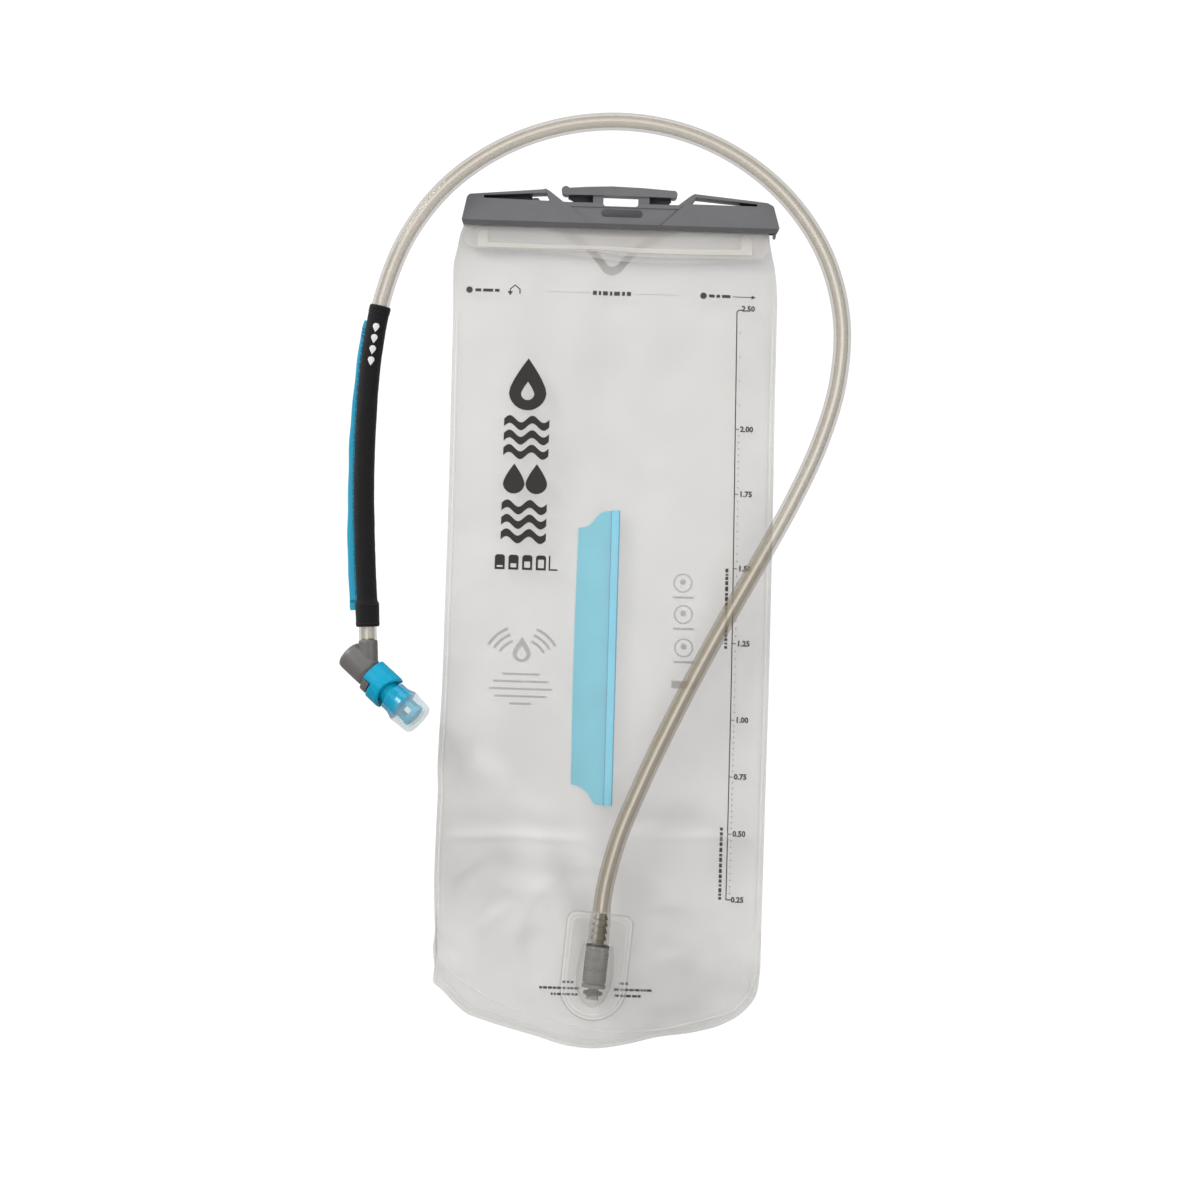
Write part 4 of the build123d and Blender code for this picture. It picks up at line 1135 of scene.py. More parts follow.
def build_fill_line():
    """Two dotted rows with blocks between them, and a pictogram at either end."""
    decal = Decal()
    for start, end in ((-37.0, -14.8), (10.2, 32.6)):
        for x in np.arange(start, end, 0.95):
            decal.disc(x, -50.25, 0.2, n=8)
    decal.dashes(-13.2, -51.3, -49.1, [
        (0, 2.1), (3.164, 1.3), (5.424, 2.6), (9.153, 1.3), (11.413, 3.1), (15.707, 1.6),
        (18.306, 2.2)])
    # left: dot, dashes and a folded-over arrow
    decal.disc(-79.8, -50.4, 1.75)
    decal.dashes(-76.6, -51.2, -49.6, [(0, 3.2), (4.2, 5.4), (10.6, 2.4)])
    decal.poly([(-58.0, -52.2), (-57.5, -52.2), (-57.5, -49.6), (-55.2, -47.6), (-52.8, -49.6),
                (-52.8, -52.0), (-52.2, -52.0), (-52.2, -49.3), (-55.2, -46.9), (-58.0, -49.3)])
    decal.poly([(-59.2, -50.6), (-57.75, -52.9), (-56.3, -50.6)])
    # right: dot, dashes and a straight arrow
    decal.disc(46.4, -49.9, 1.75)
    decal.dashes(49.4, -50.7, -49.1, [(0, 3.0), (4.0, 2.0), (7.0, 4.6)])
    decal.rect(62.2, -50.15, 73.0, -49.75)
    decal.poly([(72.4, -51.1), (74.6, -49.95), (72.4, -48.8)])
    decal.make("print_fill_line", front_y, 0.05, 0.03, "ink_small")


def drop(cx, cz, r, n=26):
    """Drop outline: round below its centre, drawn up to a point."""
    points = []
    for i in range(n):
        a = math.pi * (-0.5) + TURN * i / n
        x, z = math.cos(a) * r, math.sin(a) * r
        if z > 0:
            k = z / r
            x *= (1 - k) ** 0.55 if k < 1 else 0
            z = z * 1.75
        points.append((cx + x, cz + z))
    return points


def wave(zc):
    """Wavy band, two periods long."""
    left, right, swing, thick, period = -58.8, -34.4, 1.9, 4.2, 12.2
    middle = [(x, zc + swing * math.sin(TURN * (x - left) / period))
              for x in np.linspace(left, right, 26)]
    return ([(x, z + thick / 2) for x, z in middle]
            + [(x, z - thick / 2) for x, z in middle[::-1]])


def build_drops():
    """Column of plain drops and waves on the left of the front."""
    decal = Decal()
    decal.poly(drop(-46.6, -104.5, 10.2), [drop(-46.6, -105.6, 3.6)])
    for z in (-121.5, -129.3, -137.1):
        decal.poly(wave(z))
    decal.poly(drop(-52.6, -153.8, 5.9))
    decal.poly(drop(-40.4, -153.8, 5.9))
    for z in (-166.9, -174.7, -182.5):
        decal.poly(wave(z))
    decal.make("print_drops", front_y, 0.06, 0.03, "ink_black")


def build_levels():
    """Four blocks with ever taller windows, and an L-shaped corner."""
    decal = Decal()
    foot, top = -200.6, -192.6
    for k in range(4):
        x = -61.5 + k * 7.4
        window_top = -198.4 + 1.17 * k
        decal.poly([(x, foot), (x + 5.4, foot), (x + 5.4, top - 1.0), (x + 4.4, top),
                    (x + 1.0, top), (x, top - 1.0)],
                   [[(x + 1.1, -199.4), (x + 4.3, -199.4), (x + 4.3, window_top),
                     (x + 1.1, window_top)]])
    decal.rect(-32.4, foot, -31.6, top)
    decal.rect(-31.6, foot, -27.6, foot + 0.8)
    decal.make("print_levels", front_y, 0.05, 0.03, "ink_black")


def build_outlet_rows():
    """Rows of small dashes on either side of the outlet."""
    decal = Decal()
    rng = np.random.RandomState(5)
    # side, then the start and end of each row, out from the port's centre
    for side, rows in ((-1, ((12.5, 17.0), (9.5, 30.0), (10.0, 24.0))),
                       (1, ((12.5, 17.0), (9.5, 29.0), (10.0, 24.0)))):
        for row, (a, end) in enumerate(rows):
            z = PORT[2] + (-22.0 - 3.3 * row)
            while a < end:
                length = rng.uniform(1.0, 2.8)
                near, far = PORT[0] + side * a, PORT[0] + side * (a + length)
                decal.rect(min(near, far), z, max(near, far), z + 1.25)
                a += length + rng.uniform(0.4, 0.8)
    decal.make("print_outlet_rows", front_y, 0.05, 0.03, "ink_small")


def build_back_print():
    """Faint prints on the back film, seen through the bag."""
    decal = Decal()
    x = -45.6
    decal.poly(drop(x, -245.5, 5.0), [drop(x, -246.2, 2.6)])
    for k in range(3):
        r = 13.0 + 3.6 * k
        for a0, a1 in ((0.78, 0.95), (2.2, 2.36)):
            angles = np.linspace(a0 - 0.25, a1 + 0.25, 10)
            back_angles = np.linspace(a1 + 0.25, a0 - 0.25, 10)
            decal.poly([(x + (r + 1.5) * math.cos(a), -252 + (r + 1.5) * math.sin(a))
                        for a in angles]
                       + [(x + r * math.cos(a), -252 + r * math.sin(a)) for a in back_angles])
    for k, width in enumerate((20, 30, 34, 28, 12)):
        decal.rect(x - width / 2, -257.5 - 4.0 * k, x + width / 2, -256.4 - 4.0 * k)
    for k, z in enumerate((-205.0, -222.0, -240.0)):
        shift = 0.72 * k
        decal.disc(40.4 + shift, z, 5.2, 4.4)
        decal.disc(40.4 + shift, z + 0.6, 1.6)
        decal.rect(35.2 + shift, z - 8.4, 46.4 + shift, z - 7.2)
    decal.rect(35.8, -262.0, 48.0, -258.0)
    decal.make("print_back", back_h, 0.05, 0.03, "ink_back", side=1)


# =====================================================================
# mouth stiffeners: shallow U strips between the lips
# =====================================================================
STIFFENER_THICKNESS = 0.7
# outline: x, z
STIFFENER = [
    (-75.9, -27.4), (-75.9, -20.4), (-74.2, -18.2), (-71.4, -18.0), (-70.8, -18.8),
    (-70.8, -24.0), (-69.6, -25.0), (-40, -25.2), (-10, -25.0), (10, -25.6), (40, -25.6),
    (65.0, -25.0), (66.2, -24.0), (66.2, -17.8), (67.0, -17.0), (69.4, -17.1),
    (71.5, -19.2), (71.7, -27.6), (40, -28.2), (10, -28.1), (-10, -26.9), (-40, -27.2)]


def build_stiffener(name, outline, layer, cad):
    decal = Decal()
    decal.poly(outline, max_edge=4.0)
    half = STIFFENER_THICKNESS / 2
    o = decal.make(name, lambda x, z: flap_y(x, z, layer) + 0.75, half, half,
                   "stiffener_white", slot="stiffener")
    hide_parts(cad)


# =====================================================================
# baffle: a rail inside the front film and a web across to the back film
# =====================================================================
BAFFLE_X = 2.75
BAFFLE_FOOT, BAFFLE_TOP = -326.4, -167.0
BAFFLE_LEAN = 0.55  # shift to the right at the foot
# the web's upper and lower edges: x, z
WEB_TOP = np.array([
    (-17.2, -176.9), (-14.5, -176.5), (-11.9, -175.9), (-9.5, -173.6), (-7.2, -170.4),
    (-5.2, -168.4), (-3.4, -167.7), (2.8, -167.2)])
WEB_FOOT = np.array([
    (-17.2, -315.7), (-15.0, -316.0), (-12.4, -316.6), (-10.2, -318.0), (-8.2, -319.6),
    (-6.4, -322.2), (-5.0, -325.0), (-3.6, -326.0), (2.8, -326.2)])
# C-shaped section of the rail, open to the back: x, y
RAIL_SECTION = [
    (-2.1, 0), (2.1, 0), (2.2, 1.4), (2.1, 2.9), (0.9, 2.9), (0.9, 2.3), (1.4, 2.1),
    (1.4, 0.8), (-1.4, 0.8), (-1.4, 2.1), (-0.9, 2.3), (-0.9, 2.9), (-2.1, 2.9), (-2.2, 1.4)]


def rail_place(z, dx=0.0):
    """x of the leaning rail, moved by dx, and y of the film's inside there."""
    x = BAFFLE_X + BAFFLE_LEAN * (z - BAFFLE_TOP) / (BAFFLE_FOOT - BAFFLE_TOP) + dx
    return x, float(front_inside_y(np.array([x]), np.array([z]))[0])


def sweep_up(name, section, zs, material, nodes=()):
    """Closed solid from the (x, y) section at each z."""
    rings = [np.array(section(z)) for z in zs]
    n = len(rings[0])
    verts = np.concatenate([np.column_stack([ring[:, 0], ring[:, 1], np.full(n, z)])
                            for ring, z in zip(rings, zs)])
    faces = [(i * n + k, i * n + (k + 1) % n, (i + 1) * n + (k + 1) % n, (i + 1) * n + k)
             for i in range(len(zs) - 1) for k in range(n)]
    faces.append(tuple(range(n - 1, -1, -1)))
    faces.append(tuple((len(zs) - 1) * n + k for k in range(n)))
    add_piece(name, verts, faces, material, "reservoir", "baffle", nodes, angle=35)


def rail_section(z):
    x, y = rail_place(z)
    # shifted away from x = 0 while rounding, as points there are left sharp
    rounded = round_profile([(a + 10, b) for a, b in RAIL_SECTION], 0.25, 2)
    return [(x + a - 10, y + 0.02 + b) for a, b in rounded]


def bead_section(z):
    x, y = rail_place(z)
    y += 0.02 + 1.45
    return [(x + 0.55 * math.cos(a), y + 0.55 * math.sin(a))
            for a in np.linspace(0, TURN, 13)[:-1]]


def edge_section(dx, half):
    """Section of a thin dark strip along one side of the rail."""
    def section(z):
        x, y = rail_place(z, dx)
        y -= 0.06
        return [(x - half, y + 0.1), (x - half * 0.6, y), (x + half * 0.6, y),
                (x + half, y + 0.1), (x + half, y + 0.6), (x - half, y + 0.6)]
    return section


def build_baffle():
    zs = np.linspace(BAFFLE_FOOT, BAFFLE_TOP, 40)
    sweep_up("baffle_rail", rail_section, zs, "baffle_rail_blue", ("baffle_track",))
    sweep_up("baffle_bead", bead_section,
             np.linspace(BAFFLE_FOOT + 0.8, BAFFLE_TOP - 0.8, 40), "baffle_bead_blue")
    sweep_up("baffle_edge_right", edge_section(2.15, 0.34), zs, "baffle_bead_blue")
    sweep_up("baffle_edge_left", edge_section(-2.15, 0.22), zs, "baffle_bead_blue")


def build_baffle_web():
    columns, rows = 26, 90
    half = 0.2
    xs = np.linspace(-17.2, 2.3, columns)
    x = np.tile(xs, (rows, 1))
    t = np.linspace(0, 1, rows)[:, None]
    z = (np.interp(xs, WEB_TOP[:, 0], WEB_TOP[:, 1])[None] * (1 - t)
         + np.interp(xs, WEB_FOOT[:, 0], WEB_FOOT[:, 1])[None] * t)
    back_y = back_h(x, z) - FILM_THICKNESS - 0.30
    rail_y = front_inside_y(np.full_like(x, BAFFLE_X), z) + 2.0
    across = np.clip((x + 15.2) / 17.8, 0, 1)
    belly = np.sin(math.pi * across)
    y = (back_y * (1 - across) + rail_y * across + 0.25 * np.sin(z / 19.0) * belly
         + 0.12 * np.sin(z / 6.1 + x / 4) * belly)
    x = x + 0.35 * np.sin(z / 31.0) * (1 - across)
    sheet("baffle_film", points_xyz(x, y - half, z), points_xyz(x, y + half, z),
          "baffle_blue_film", "baffle", ("baffle_web",))


# =====================================================================
# outlet port
# =====================================================================
# plate sections from back to front: y, inset, corner radius
PLATE_LAYERS = [
    (-2.45, 0.25, 5.0), (-2.7, 0.0, 5.0), (-3.15, 0.0, 5.0), (-3.45, 0.3, 4.8),
    (-3.6, 0.9, 4.4), (-3.62, 1.7, 4.0), (-3.95, 2.0, 4.0), (-4.05, 2.5, 3.8),
    (-3.98, 3.1, 3.5), (-3.6, 3.6, 3.2)]
# socket walls: radius, height along the port
SOCKET_OUTER = [
    (8.25, 0.0), (8.45, -1.0), (8.75, -3.4), (9.0, -6.0), (9.25, -8.6), (9.45, -11.0),
    (9.58, -13.6), (9.65, -16.0)]
SOCKET_BORE = [
    (4.0, -29.5), (5.3, -27.2), (6.0, -25.6), (6.0, -22.5), (6.5, -22.5), (6.5, -1.3)]
# pedestal between plate and socket: across, along
PEDESTAL = [
    (-6.4, -1.2), (6.4, -1.2), (7.0, -8), (7.2, -16), (6.4, -23), (4.6, -28), (-4.6, -28),
    (-6.4, -23), (-7.2, -16), (-7.0, -8)]
# hose plug with barbs: radius, height along the port
PLUG_PROFILE = [
    (2.2, -19.0), (2.6, -19.6), (4.0, -20.5), (5.6, -20.5), (6.35, -19.4), (6.35, -13.6),
    (5.5, -13.6), (5.5, -11.8), (6.35, -11.8), (6.35, -8.0), (5.5, -8.0), (5.5, -6.2),
    (6.35, -6.2), (6.35, -3.2), (5.9, -2.9), (5.9, -2.1), (6.35, -1.8), (6.35, -0.8),
    (6.0, 0.4), (3.2, 0.4), (3.2, 3.0), (4.15, 3.3), (4.15, 3.9), (3.1, 6.4), (3.1, 6.7),
    (4.15, 7.0), (4.15, 7.6), (3.1, 10.1), (3.1, 10.4), (4.15, 10.7), (4.15, 11.3),
    (3.1, 13.6), (3.1, 13.9), (4.0, 14.1), (4.0, 14.6), (2.9, 17.0), (2.2, 17.0)]


def port_points(points):
    """x, z of points given across and along the port."""
    return [(PORT[0] + a * PORT_ACROSS[0] + b * PORT_DIR[0],
             PORT[2] + a * PORT_ACROSS[2] + b * PORT_DIR[2]) for a, b in points]


def plate_outline(inset, r):
    """The plate's outline: two rounded corners above, a half circle below."""
    half, top = PLATE_HALF_WIDTH - inset, PLATE_TOP - inset
    n = 10
    points = []
    for side, start in ((1, 0), (-1, math.pi / 2)):
        for i in range(n + 1):
            a = start + math.pi / 2 * i / n
            points.append((side * (half - r) + r * math.cos(a), top - r + r * math.sin(a)))
    for i in range(1, 3 * n):
        a = math.pi + math.pi * i / (3 * n)
        points.append((half * math.cos(a), PLATE_ROUND + half * math.sin(a)))
    return port_points(points)


def build_port_plate():
    outlines = [plate_outline(inset, r) for _, inset, r in PLATE_LAYERS]
    n = len(outlines[0])
    last = (len(outlines) - 1) * n
    verts = [(x, y, z) for (y, _, _), line in zip(PLATE_LAYERS, outlines) for x, z in line]
    faces = [tuple(range(n)), tuple(last + k for k in range(n - 1, -1, -1))]
    for i in range(0, last, n):
        faces += [(i + k, i + n + k, i + n + (k + 1) % n, i + (k + 1) % n) for k in range(n)]
    add_piece("port_flange_plate", verts, faces, "flange_clear", "reservoir", "housing",
              angle=40)


def build_port_rims():
    # painted shade round the plate's outer edge, and painted highlight bands inside it
    # name, y, proud, sunk, material, bands as outer and inner (inset, corner radius)
    for name, y, proud, sunk, material, bands in (
            ("port_rim_shade", -3.0, 0.3, 0.3, "edge_shade", [((-0.35, 5.3), (0.25, 4.8))]),
            ("port_rim_highlight", -3.95, 0.14, 0.5, "edge_highlight",
             [((0.5, 4.6), (1.2, 4.2)), ((2.7, 3.7), (3.3, 3.4))])):
        decal = Decal()
        for outer, inner in bands:
            decal.band(plate_outline(*outer), plate_outline(*inner))
        decal.make(name, lambda x, z: np.full(len(x), y), proud, sunk, material,
                   slot="housing")


def fade_bore(o, material, origin, axis, max_radius):
    """Gives a bore's faces a fainter material, so that the wall reads as one skin."""
    o.data.materials.append(MAT[material])
    axis = np.array(axis, float)
    axis /= np.linalg.norm(axis)
    for face in o.data.polygons:
        out = np.array(face.center) / MM - origin
        out = out - (out @ axis) * axis
        length = np.linalg.norm(out)
        inward = (np.array(face.normal) @ out) / max(length, 1e-6) < -0.2
        if length < max_radius and inward:
            face.material_index = 1


def socket_solid():
    """Bullet-shaped hollow socket with grip ribs on its left and right."""
    profile = list(SOCKET_OUTER)
    for i in range(1, 15):
        a = math.radians(6 * i)
        profile.append((9.65 * math.cos(a) ** 0.92, -16.0 - 17.3 * math.sin(a)))
    profile += [(0.0, -33.3), (0.0, -29.5), *SOCKET_BORE, (6.9, -0.6), (7.1, 0.0)]
    fine = []
    for i, (a, b) in enumerate(zip(profile[:-1], profile[1:])):
        # the ribbed wall gets rings about 0.5 apart
        length = math.hypot(b[0] - a[0], b[1] - a[1])
        m = max(1, int(length / 0.5)) if i < len(SOCKET_OUTER) else 1
        for k in range(m):
            fine.append((a[0] + (b[0] - a[0]) * k / m, a[1] + (b[1] - a[1]) * k / m))
    fine.append(profile[-1])
    verts, faces = lathe(fine, PORT, PORT_DIR, 72)
    verts = np.array(verts)
    _, sideways, along = axis_frame(PORT_DIR)
    height, out, radius = radial_parts(verts, PORT, along)
    to_side = np.abs(out @ sideways) / np.maximum(radius, 1e-6)
    crest = 0.5 + 0.5 * np.cos(TURN * (height + 5.2) / 2.6)
    ribbed = (radius > 7.6) & (height > -24) & (height < -4.0)
    ribs = np.where(ribbed, 0.55 * to_side ** 8 * crest ** 1.5 * ease(-24, -21, height)
                    * ease(-4.0, -5.5, height), 0)
    return raw_object(push_out(verts, out, radius, ribs), faces)


def build_socket():
    socket = socket_solid()
    pedestal = raw_object(*prism(port_points(PEDESTAL), -6.2, -3.5))
    bore = [(0, 1.0), (6.9, 1.0), (6.9, -0.6), *SOCKET_BORE[::-1], (0, -29.5)]
    pedestal = boolean(pedestal, [turned(bore, PORT, PORT_DIR, 72)], "DIFFERENCE")
    socket = boolean(socket, [pedestal], "UNION")
    finish_raw(socket, "port_socket", "housing_clear", "reservoir",
               ("port_housing",), angle=38)
    fade_bore(socket, "housing_clear_inner", PORT, PORT_DIR, 7.6)


def build_plug():
    profile = round_profile(PLUG_PROFILE, 0.22)
    add_piece("plug_body", *lathe(profile, PORT, PORT_DIR, 64), "plug_grey", "plug", "grey",
              ("hose_plug",))


def color_cad_nodes():
    for name, material in (
            ("valve_seat", "valve_grey"), ("shutoff_poppet", "plug_grey"),
            ("poppet_seal", "seal_black"), ("poppet_spring", "spring_steel"),
            ("plug_o_rings", "seal_black"), ("core_o_rings", "seal_black"),
            ("rear_rail", "rail_clear"), ("front_rail", "rail_clear")):
        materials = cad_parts[name].data.materials
        materials.clear()
        materials.append(MAT[material])


# =====================================================================
# drink tube
# =====================================================================
NECK_TILT = math.radians(3.2)
NECK_DIR = np.array([-math.sin(NECK_TILT), 0, math.cos(NECK_TILT)])
ELBOW = np.array([-126.5, -14.5, -258.66])
# stations from the port, up the right, over the top and down the left: x, z
TUBE_Y = -14.5
TUBE_STATIONS = [
    (20.8, -313.86), (34.59, -282.41), (49.38, -251.43), (65.09, -220.9), (81.28, -190.63),
    (96.97, -160.09), (110.48, -128.55), (119.3, -95.42), (120.2, -61.21),
    (110.73, -28.36), (91.55, -0.05), (65.12, 21.7), (33.83, 35.57), (-0.04, 40.51),
    (-34.02, 36.35), (-65.84, 23.7), (-93.15, 3.09), (-113.33, -24.53),
    (-125.16, -56.66), (-130.48, -90.55), (-132.21, -124.83), (-132.22, -159.16),
    (-130.63, -193.46)]


def tube_path():
    stations = [PORT + PORT_DIR * 21.0, (8.74, -14.3, -345.99),
                *[(x, TUBE_Y, z) for x, z in TUBE_STATIONS], ELBOW + NECK_DIR * 33.0]
    run = smooth_line(stations, 2.0, PORT_DIR, -NECK_DIR)
    lead = np.array([PORT + PORT_DIR * k for k in np.arange(0.45, 21.0, 0.75)])
    tail = np.array([ELBOW + NECK_DIR * k for k in np.arange(32.0, 17.9, -1.0)])
    return np.concatenate([lead, run, tail])


TUBE = tube_path()
TUBE_S = run_length(TUBE)


def path_frames(path):
    """Tangents, and two normals, the first of them towards the front."""
    T = np.gradient(path, axis=0)
    T /= np.linalg.norm(T, axis=1)[:, None]
    front = np.array([0, -1.0, 0])
    n1 = front[None] - (T @ front)[:, None] * T
    n1 /= np.linalg.norm(n1, axis=1)[:, None]
    return T, n1, np.cross(T, n1)


def sweep_shell(name, path, outer, inner, segments, material, nodes, slot, ripple=None):
    """Closed hollow sweep; outer and inner are radii along the path.

    ripple(angle, distance) is added to the outer radius. UV: u once round, v in mm."""
    _, n1, n2 = path_frames(path)
    m = len(path)
    a = np.linspace(0, TURN, segments + 1)[:-1]
    s = run_length(path)
    R = np.repeat(outer[:, None], segments, 1)
    if ripple is not None:
        R = R + ripple(a[None, :], s[:, None])
    ring = (n1[:, None, :] * np.cos(a)[None, :, None]
            + n2[:, None, :] * np.sin(a)[None, :, None])
    outside = path[:, None, :] + ring * R[..., None]
    inside = path[:, None, :] + ring * inner[:, None, None]
    verts = np.concatenate([outside.reshape(-1, 3), inside.reshape(-1, 3)])
    idx = np.arange(m * segments).reshape(m, segments)
    nx = np.roll(idx, -1, axis=1)
    off = m * segments
    faces = [np.stack([idx[:-1], nx[:-1], nx[1:], idx[1:]], -1).reshape(-1, 4),
             np.stack([idx[:-1], idx[1:], nx[1:], nx[:-1]], -1).reshape(-1, 4) + off,
             np.stack([idx[0], idx[0] + off, nx[0] + off, nx[0]], -1),
             np.stack([idx[-1], nx[-1], nx[-1] + off, idx[-1] + off], -1)]
    uv = np.stack([np.broadcast_to(a[None, :] / TURN, (m, segments)),
                   np.broadcast_to(s[:, None], (m, segments))], -1).reshape(-1, 2)
    return add_piece(name, verts, np.concatenate(faces), material, "tube", slot, nodes,
                     angle=50, uv=np.concatenate([uv, uv]))


def build_tube():
    # the first stretch is swollen by the barbed plug inside it
    outer = np.interp(TUBE_S, [0, 0.8, 2.9, 12.2, 16.2, 19.0, 21, 1e4],
                      [5.3, 5.6, 5.7, 5.75, 5.2, 4.8, 4.75, 4.75])
    inner = np.interp(TUBE_S, [0, 12.3, 16.4, 17.4, 1e4], [4.2, 4.2, 3.5, 3.2, 3.2])
    inner = np.where(TUBE_S > TUBE_S[-1] - 14.0, 3.55, inner)
    tube = sweep_shell("drink_tube_clear", TUBE, outer, inner, 44,
                       "tube_clear", ("drink_tube",), "tube")
    tube.data.materials.append(MAT["tube_clear_end"])
    for face in tube.data.polygons:
        if (np.array(face.center) * 1000.0 - PORT) @ PORT_DIR < 17.4:
            face.material_index = 1


# =====================================================================
# knit sleeve on the left run of the tube, with a blue tape on its left side
# =====================================================================
SLEEVE_R = 5.5
sleeve_start = int(np.argmax((TUBE_S > 400) & (TUBE[:, 2] < -61.6) & (TUBE[:, 0] < 0)))
sleeve_end = np.linalg.norm(TUBE - (ELBOW + NECK_DIR * 22.8), axis=1).argmin()
SLEEVE = smooth_line(TUBE[sleeve_start:sleeve_end + 1:3], 0.9)
SLEEVE_S = run_length(SLEEVE)
SLEEVE_LENGTH = SLEEVE_S[-1]
SLEEVE_T, SLEEVE_N1, SLEEVE_N2 = path_frames(SLEEVE)

to_left = np.cross(SLEEVE_T, np.array([0, 1.0, 0]))
to_left *= np.where(to_left[:, 0:1] > 0, -1, 1)
TAPE_FIRST = int(np.argmax(SLEEVE_S > 8.2))
tape_span = slice(TAPE_FIRST, int(np.argmax(SLEEVE_S > SLEEVE_LENGTH - 8.6)))
TAPE, TAPE_SIDE, TAPE_S = SLEEVE[tape_span], to_left[tape_span], SLEEVE_S[tape_span]
tape_t = (TAPE_S - TAPE_S[0]) / (TAPE_S[-1] - TAPE_S[0])
# reach of the tape from the tube's centre, wider and slightly wavy towards the valve
TAPE_REACH = 7.0 + 2.6 * tape_t ** 0.8 + 0.18 * np.sin(TAPE_S / 9.0) + 0.12 * np.sin(TAPE_S / 3.7)
TAPE_REACH = TAPE_REACH - 0.5 * ease(0.02, 0.0, tape_t) - 0.4 * ease(0.985, 1.0, tape_t)
# section: share of the reach, y
TAPE_SECTION = [
    (0.0, -0.85), (0.55, -0.95), (0.9, -0.75), (1.0, -0.3), (1.0, 0.3), (0.9, 0.75),
    (0.55, 0.95), (0.0, 0.85)]


def sleeve_ripple(a, s):
    return (0.16 * perlin(s / 9.0 + 0 * a, np.sin(a) * 1.3 + 3, 31)
            + 0.10 * perlin(s / 3.5 + 0 * a, np.cos(a) * 2.0, 32))


def build_sleeve():
    s, length = SLEEVE_S, SLEEVE_LENGTH
    outer = np.full(len(s), SLEEVE_R)
    # upper hem, then the thicker cuff over the valve's neck with a groove above it
    outer = outer + 0.22 * ease(3.4, 2.6, s) - 0.35 * ease(0.8, 0.0, s)
    outer = (outer + 0.85 * ease(length - 15.0, length - 12.5, s)
             - 0.45 * ease(length - 0.9, length, s))
    outer = outer - 0.3 * bell(s - (length - 13.6), 0.7)
    sweep_shell("sleeve_knit_tube", SLEEVE, outer, np.full(len(s), 4.82),
                56, "sleeve_knit", ("tube_sleeve",), "sleeve",
                ripple=sleeve_ripple)


def build_tape():
    inner_edge = 5.15
    rings = []
    for base, side, s, reach in zip(TAPE, TAPE_SIDE, TAPE_S, TAPE_REACH):
        rings.append([base + side * (inner_edge + (reach - inner_edge) * a)
                      + np.array([0, b * (1.0 - 0.25 * a), 0])
                      + np.array([0, 0.25 * math.sin(s / 13.0) * a, 0])
                      for a, b in TAPE_SECTION])
    R = np.array(rings)
    m, n = R.shape[:2]
    idx = np.arange(m * n).reshape(m, n)
    nx = np.roll(idx, -1, axis=1)
    quads = np.stack([idx[:-1], nx[:-1], nx[1:], idx[1:]], -1).reshape(-1, 4)
    faces = [tuple(q) for q in quads] + [tuple(idx[0][::-1]), tuple(idx[-1])]
    round_mm = np.array([0, 2, 3, 4, 5, 6, 7, 9.0]) * 0.6
    uv = np.stack([np.broadcast_to(round_mm[None, :], (m, n)),
                   np.broadcast_to(TAPE_S[:, None], (m, n))], -1).reshape(-1, 2)
    add_piece("tape_blue", R.reshape(-1, 3), faces, "tape_blue_weave", "tube", "tape",
              ("sleeve_tape",), angle=40, uv=uv)


def add_stitch(verts, faces, center, direction, half, r, bow):
    """Short thread from centre - half to centre + half, bowed out along bow."""
    segments, rows = 6, 7
    base = len(verts)
    u = np.array(direction, float) / np.linalg.norm(direction)
    b = np.array(bow, float)
    b /= np.linalg.norm(b)
    w = np.cross(u, b)
    for i in range(rows):
        t = -1 + 2 * i / (rows - 1)
        ring_r = r * math.sqrt(max(0.02, 1 - t ** 4))
        p = np.array(center) + u * t * half + b * (r * 0.6 * (1 - t * t))
        for k in range(segments):
            a = TURN * k / segments
            verts.append(p + (b * math.cos(a) + w * math.sin(a)) * ring_r)
    for i in range(rows - 1):
        lower, upper = base + i * segments, base + (i + 1) * segments
        for k in range(segments):
            j = (k + 1) % segments
            faces.append((lower + k, lower + j, upper + j, upper + k))
    faces.append(tuple(base + k for k in range(segments - 1, -1, -1)))
    faces.append(tuple(base + (rows - 1) * segments + k for k in range(segments)))


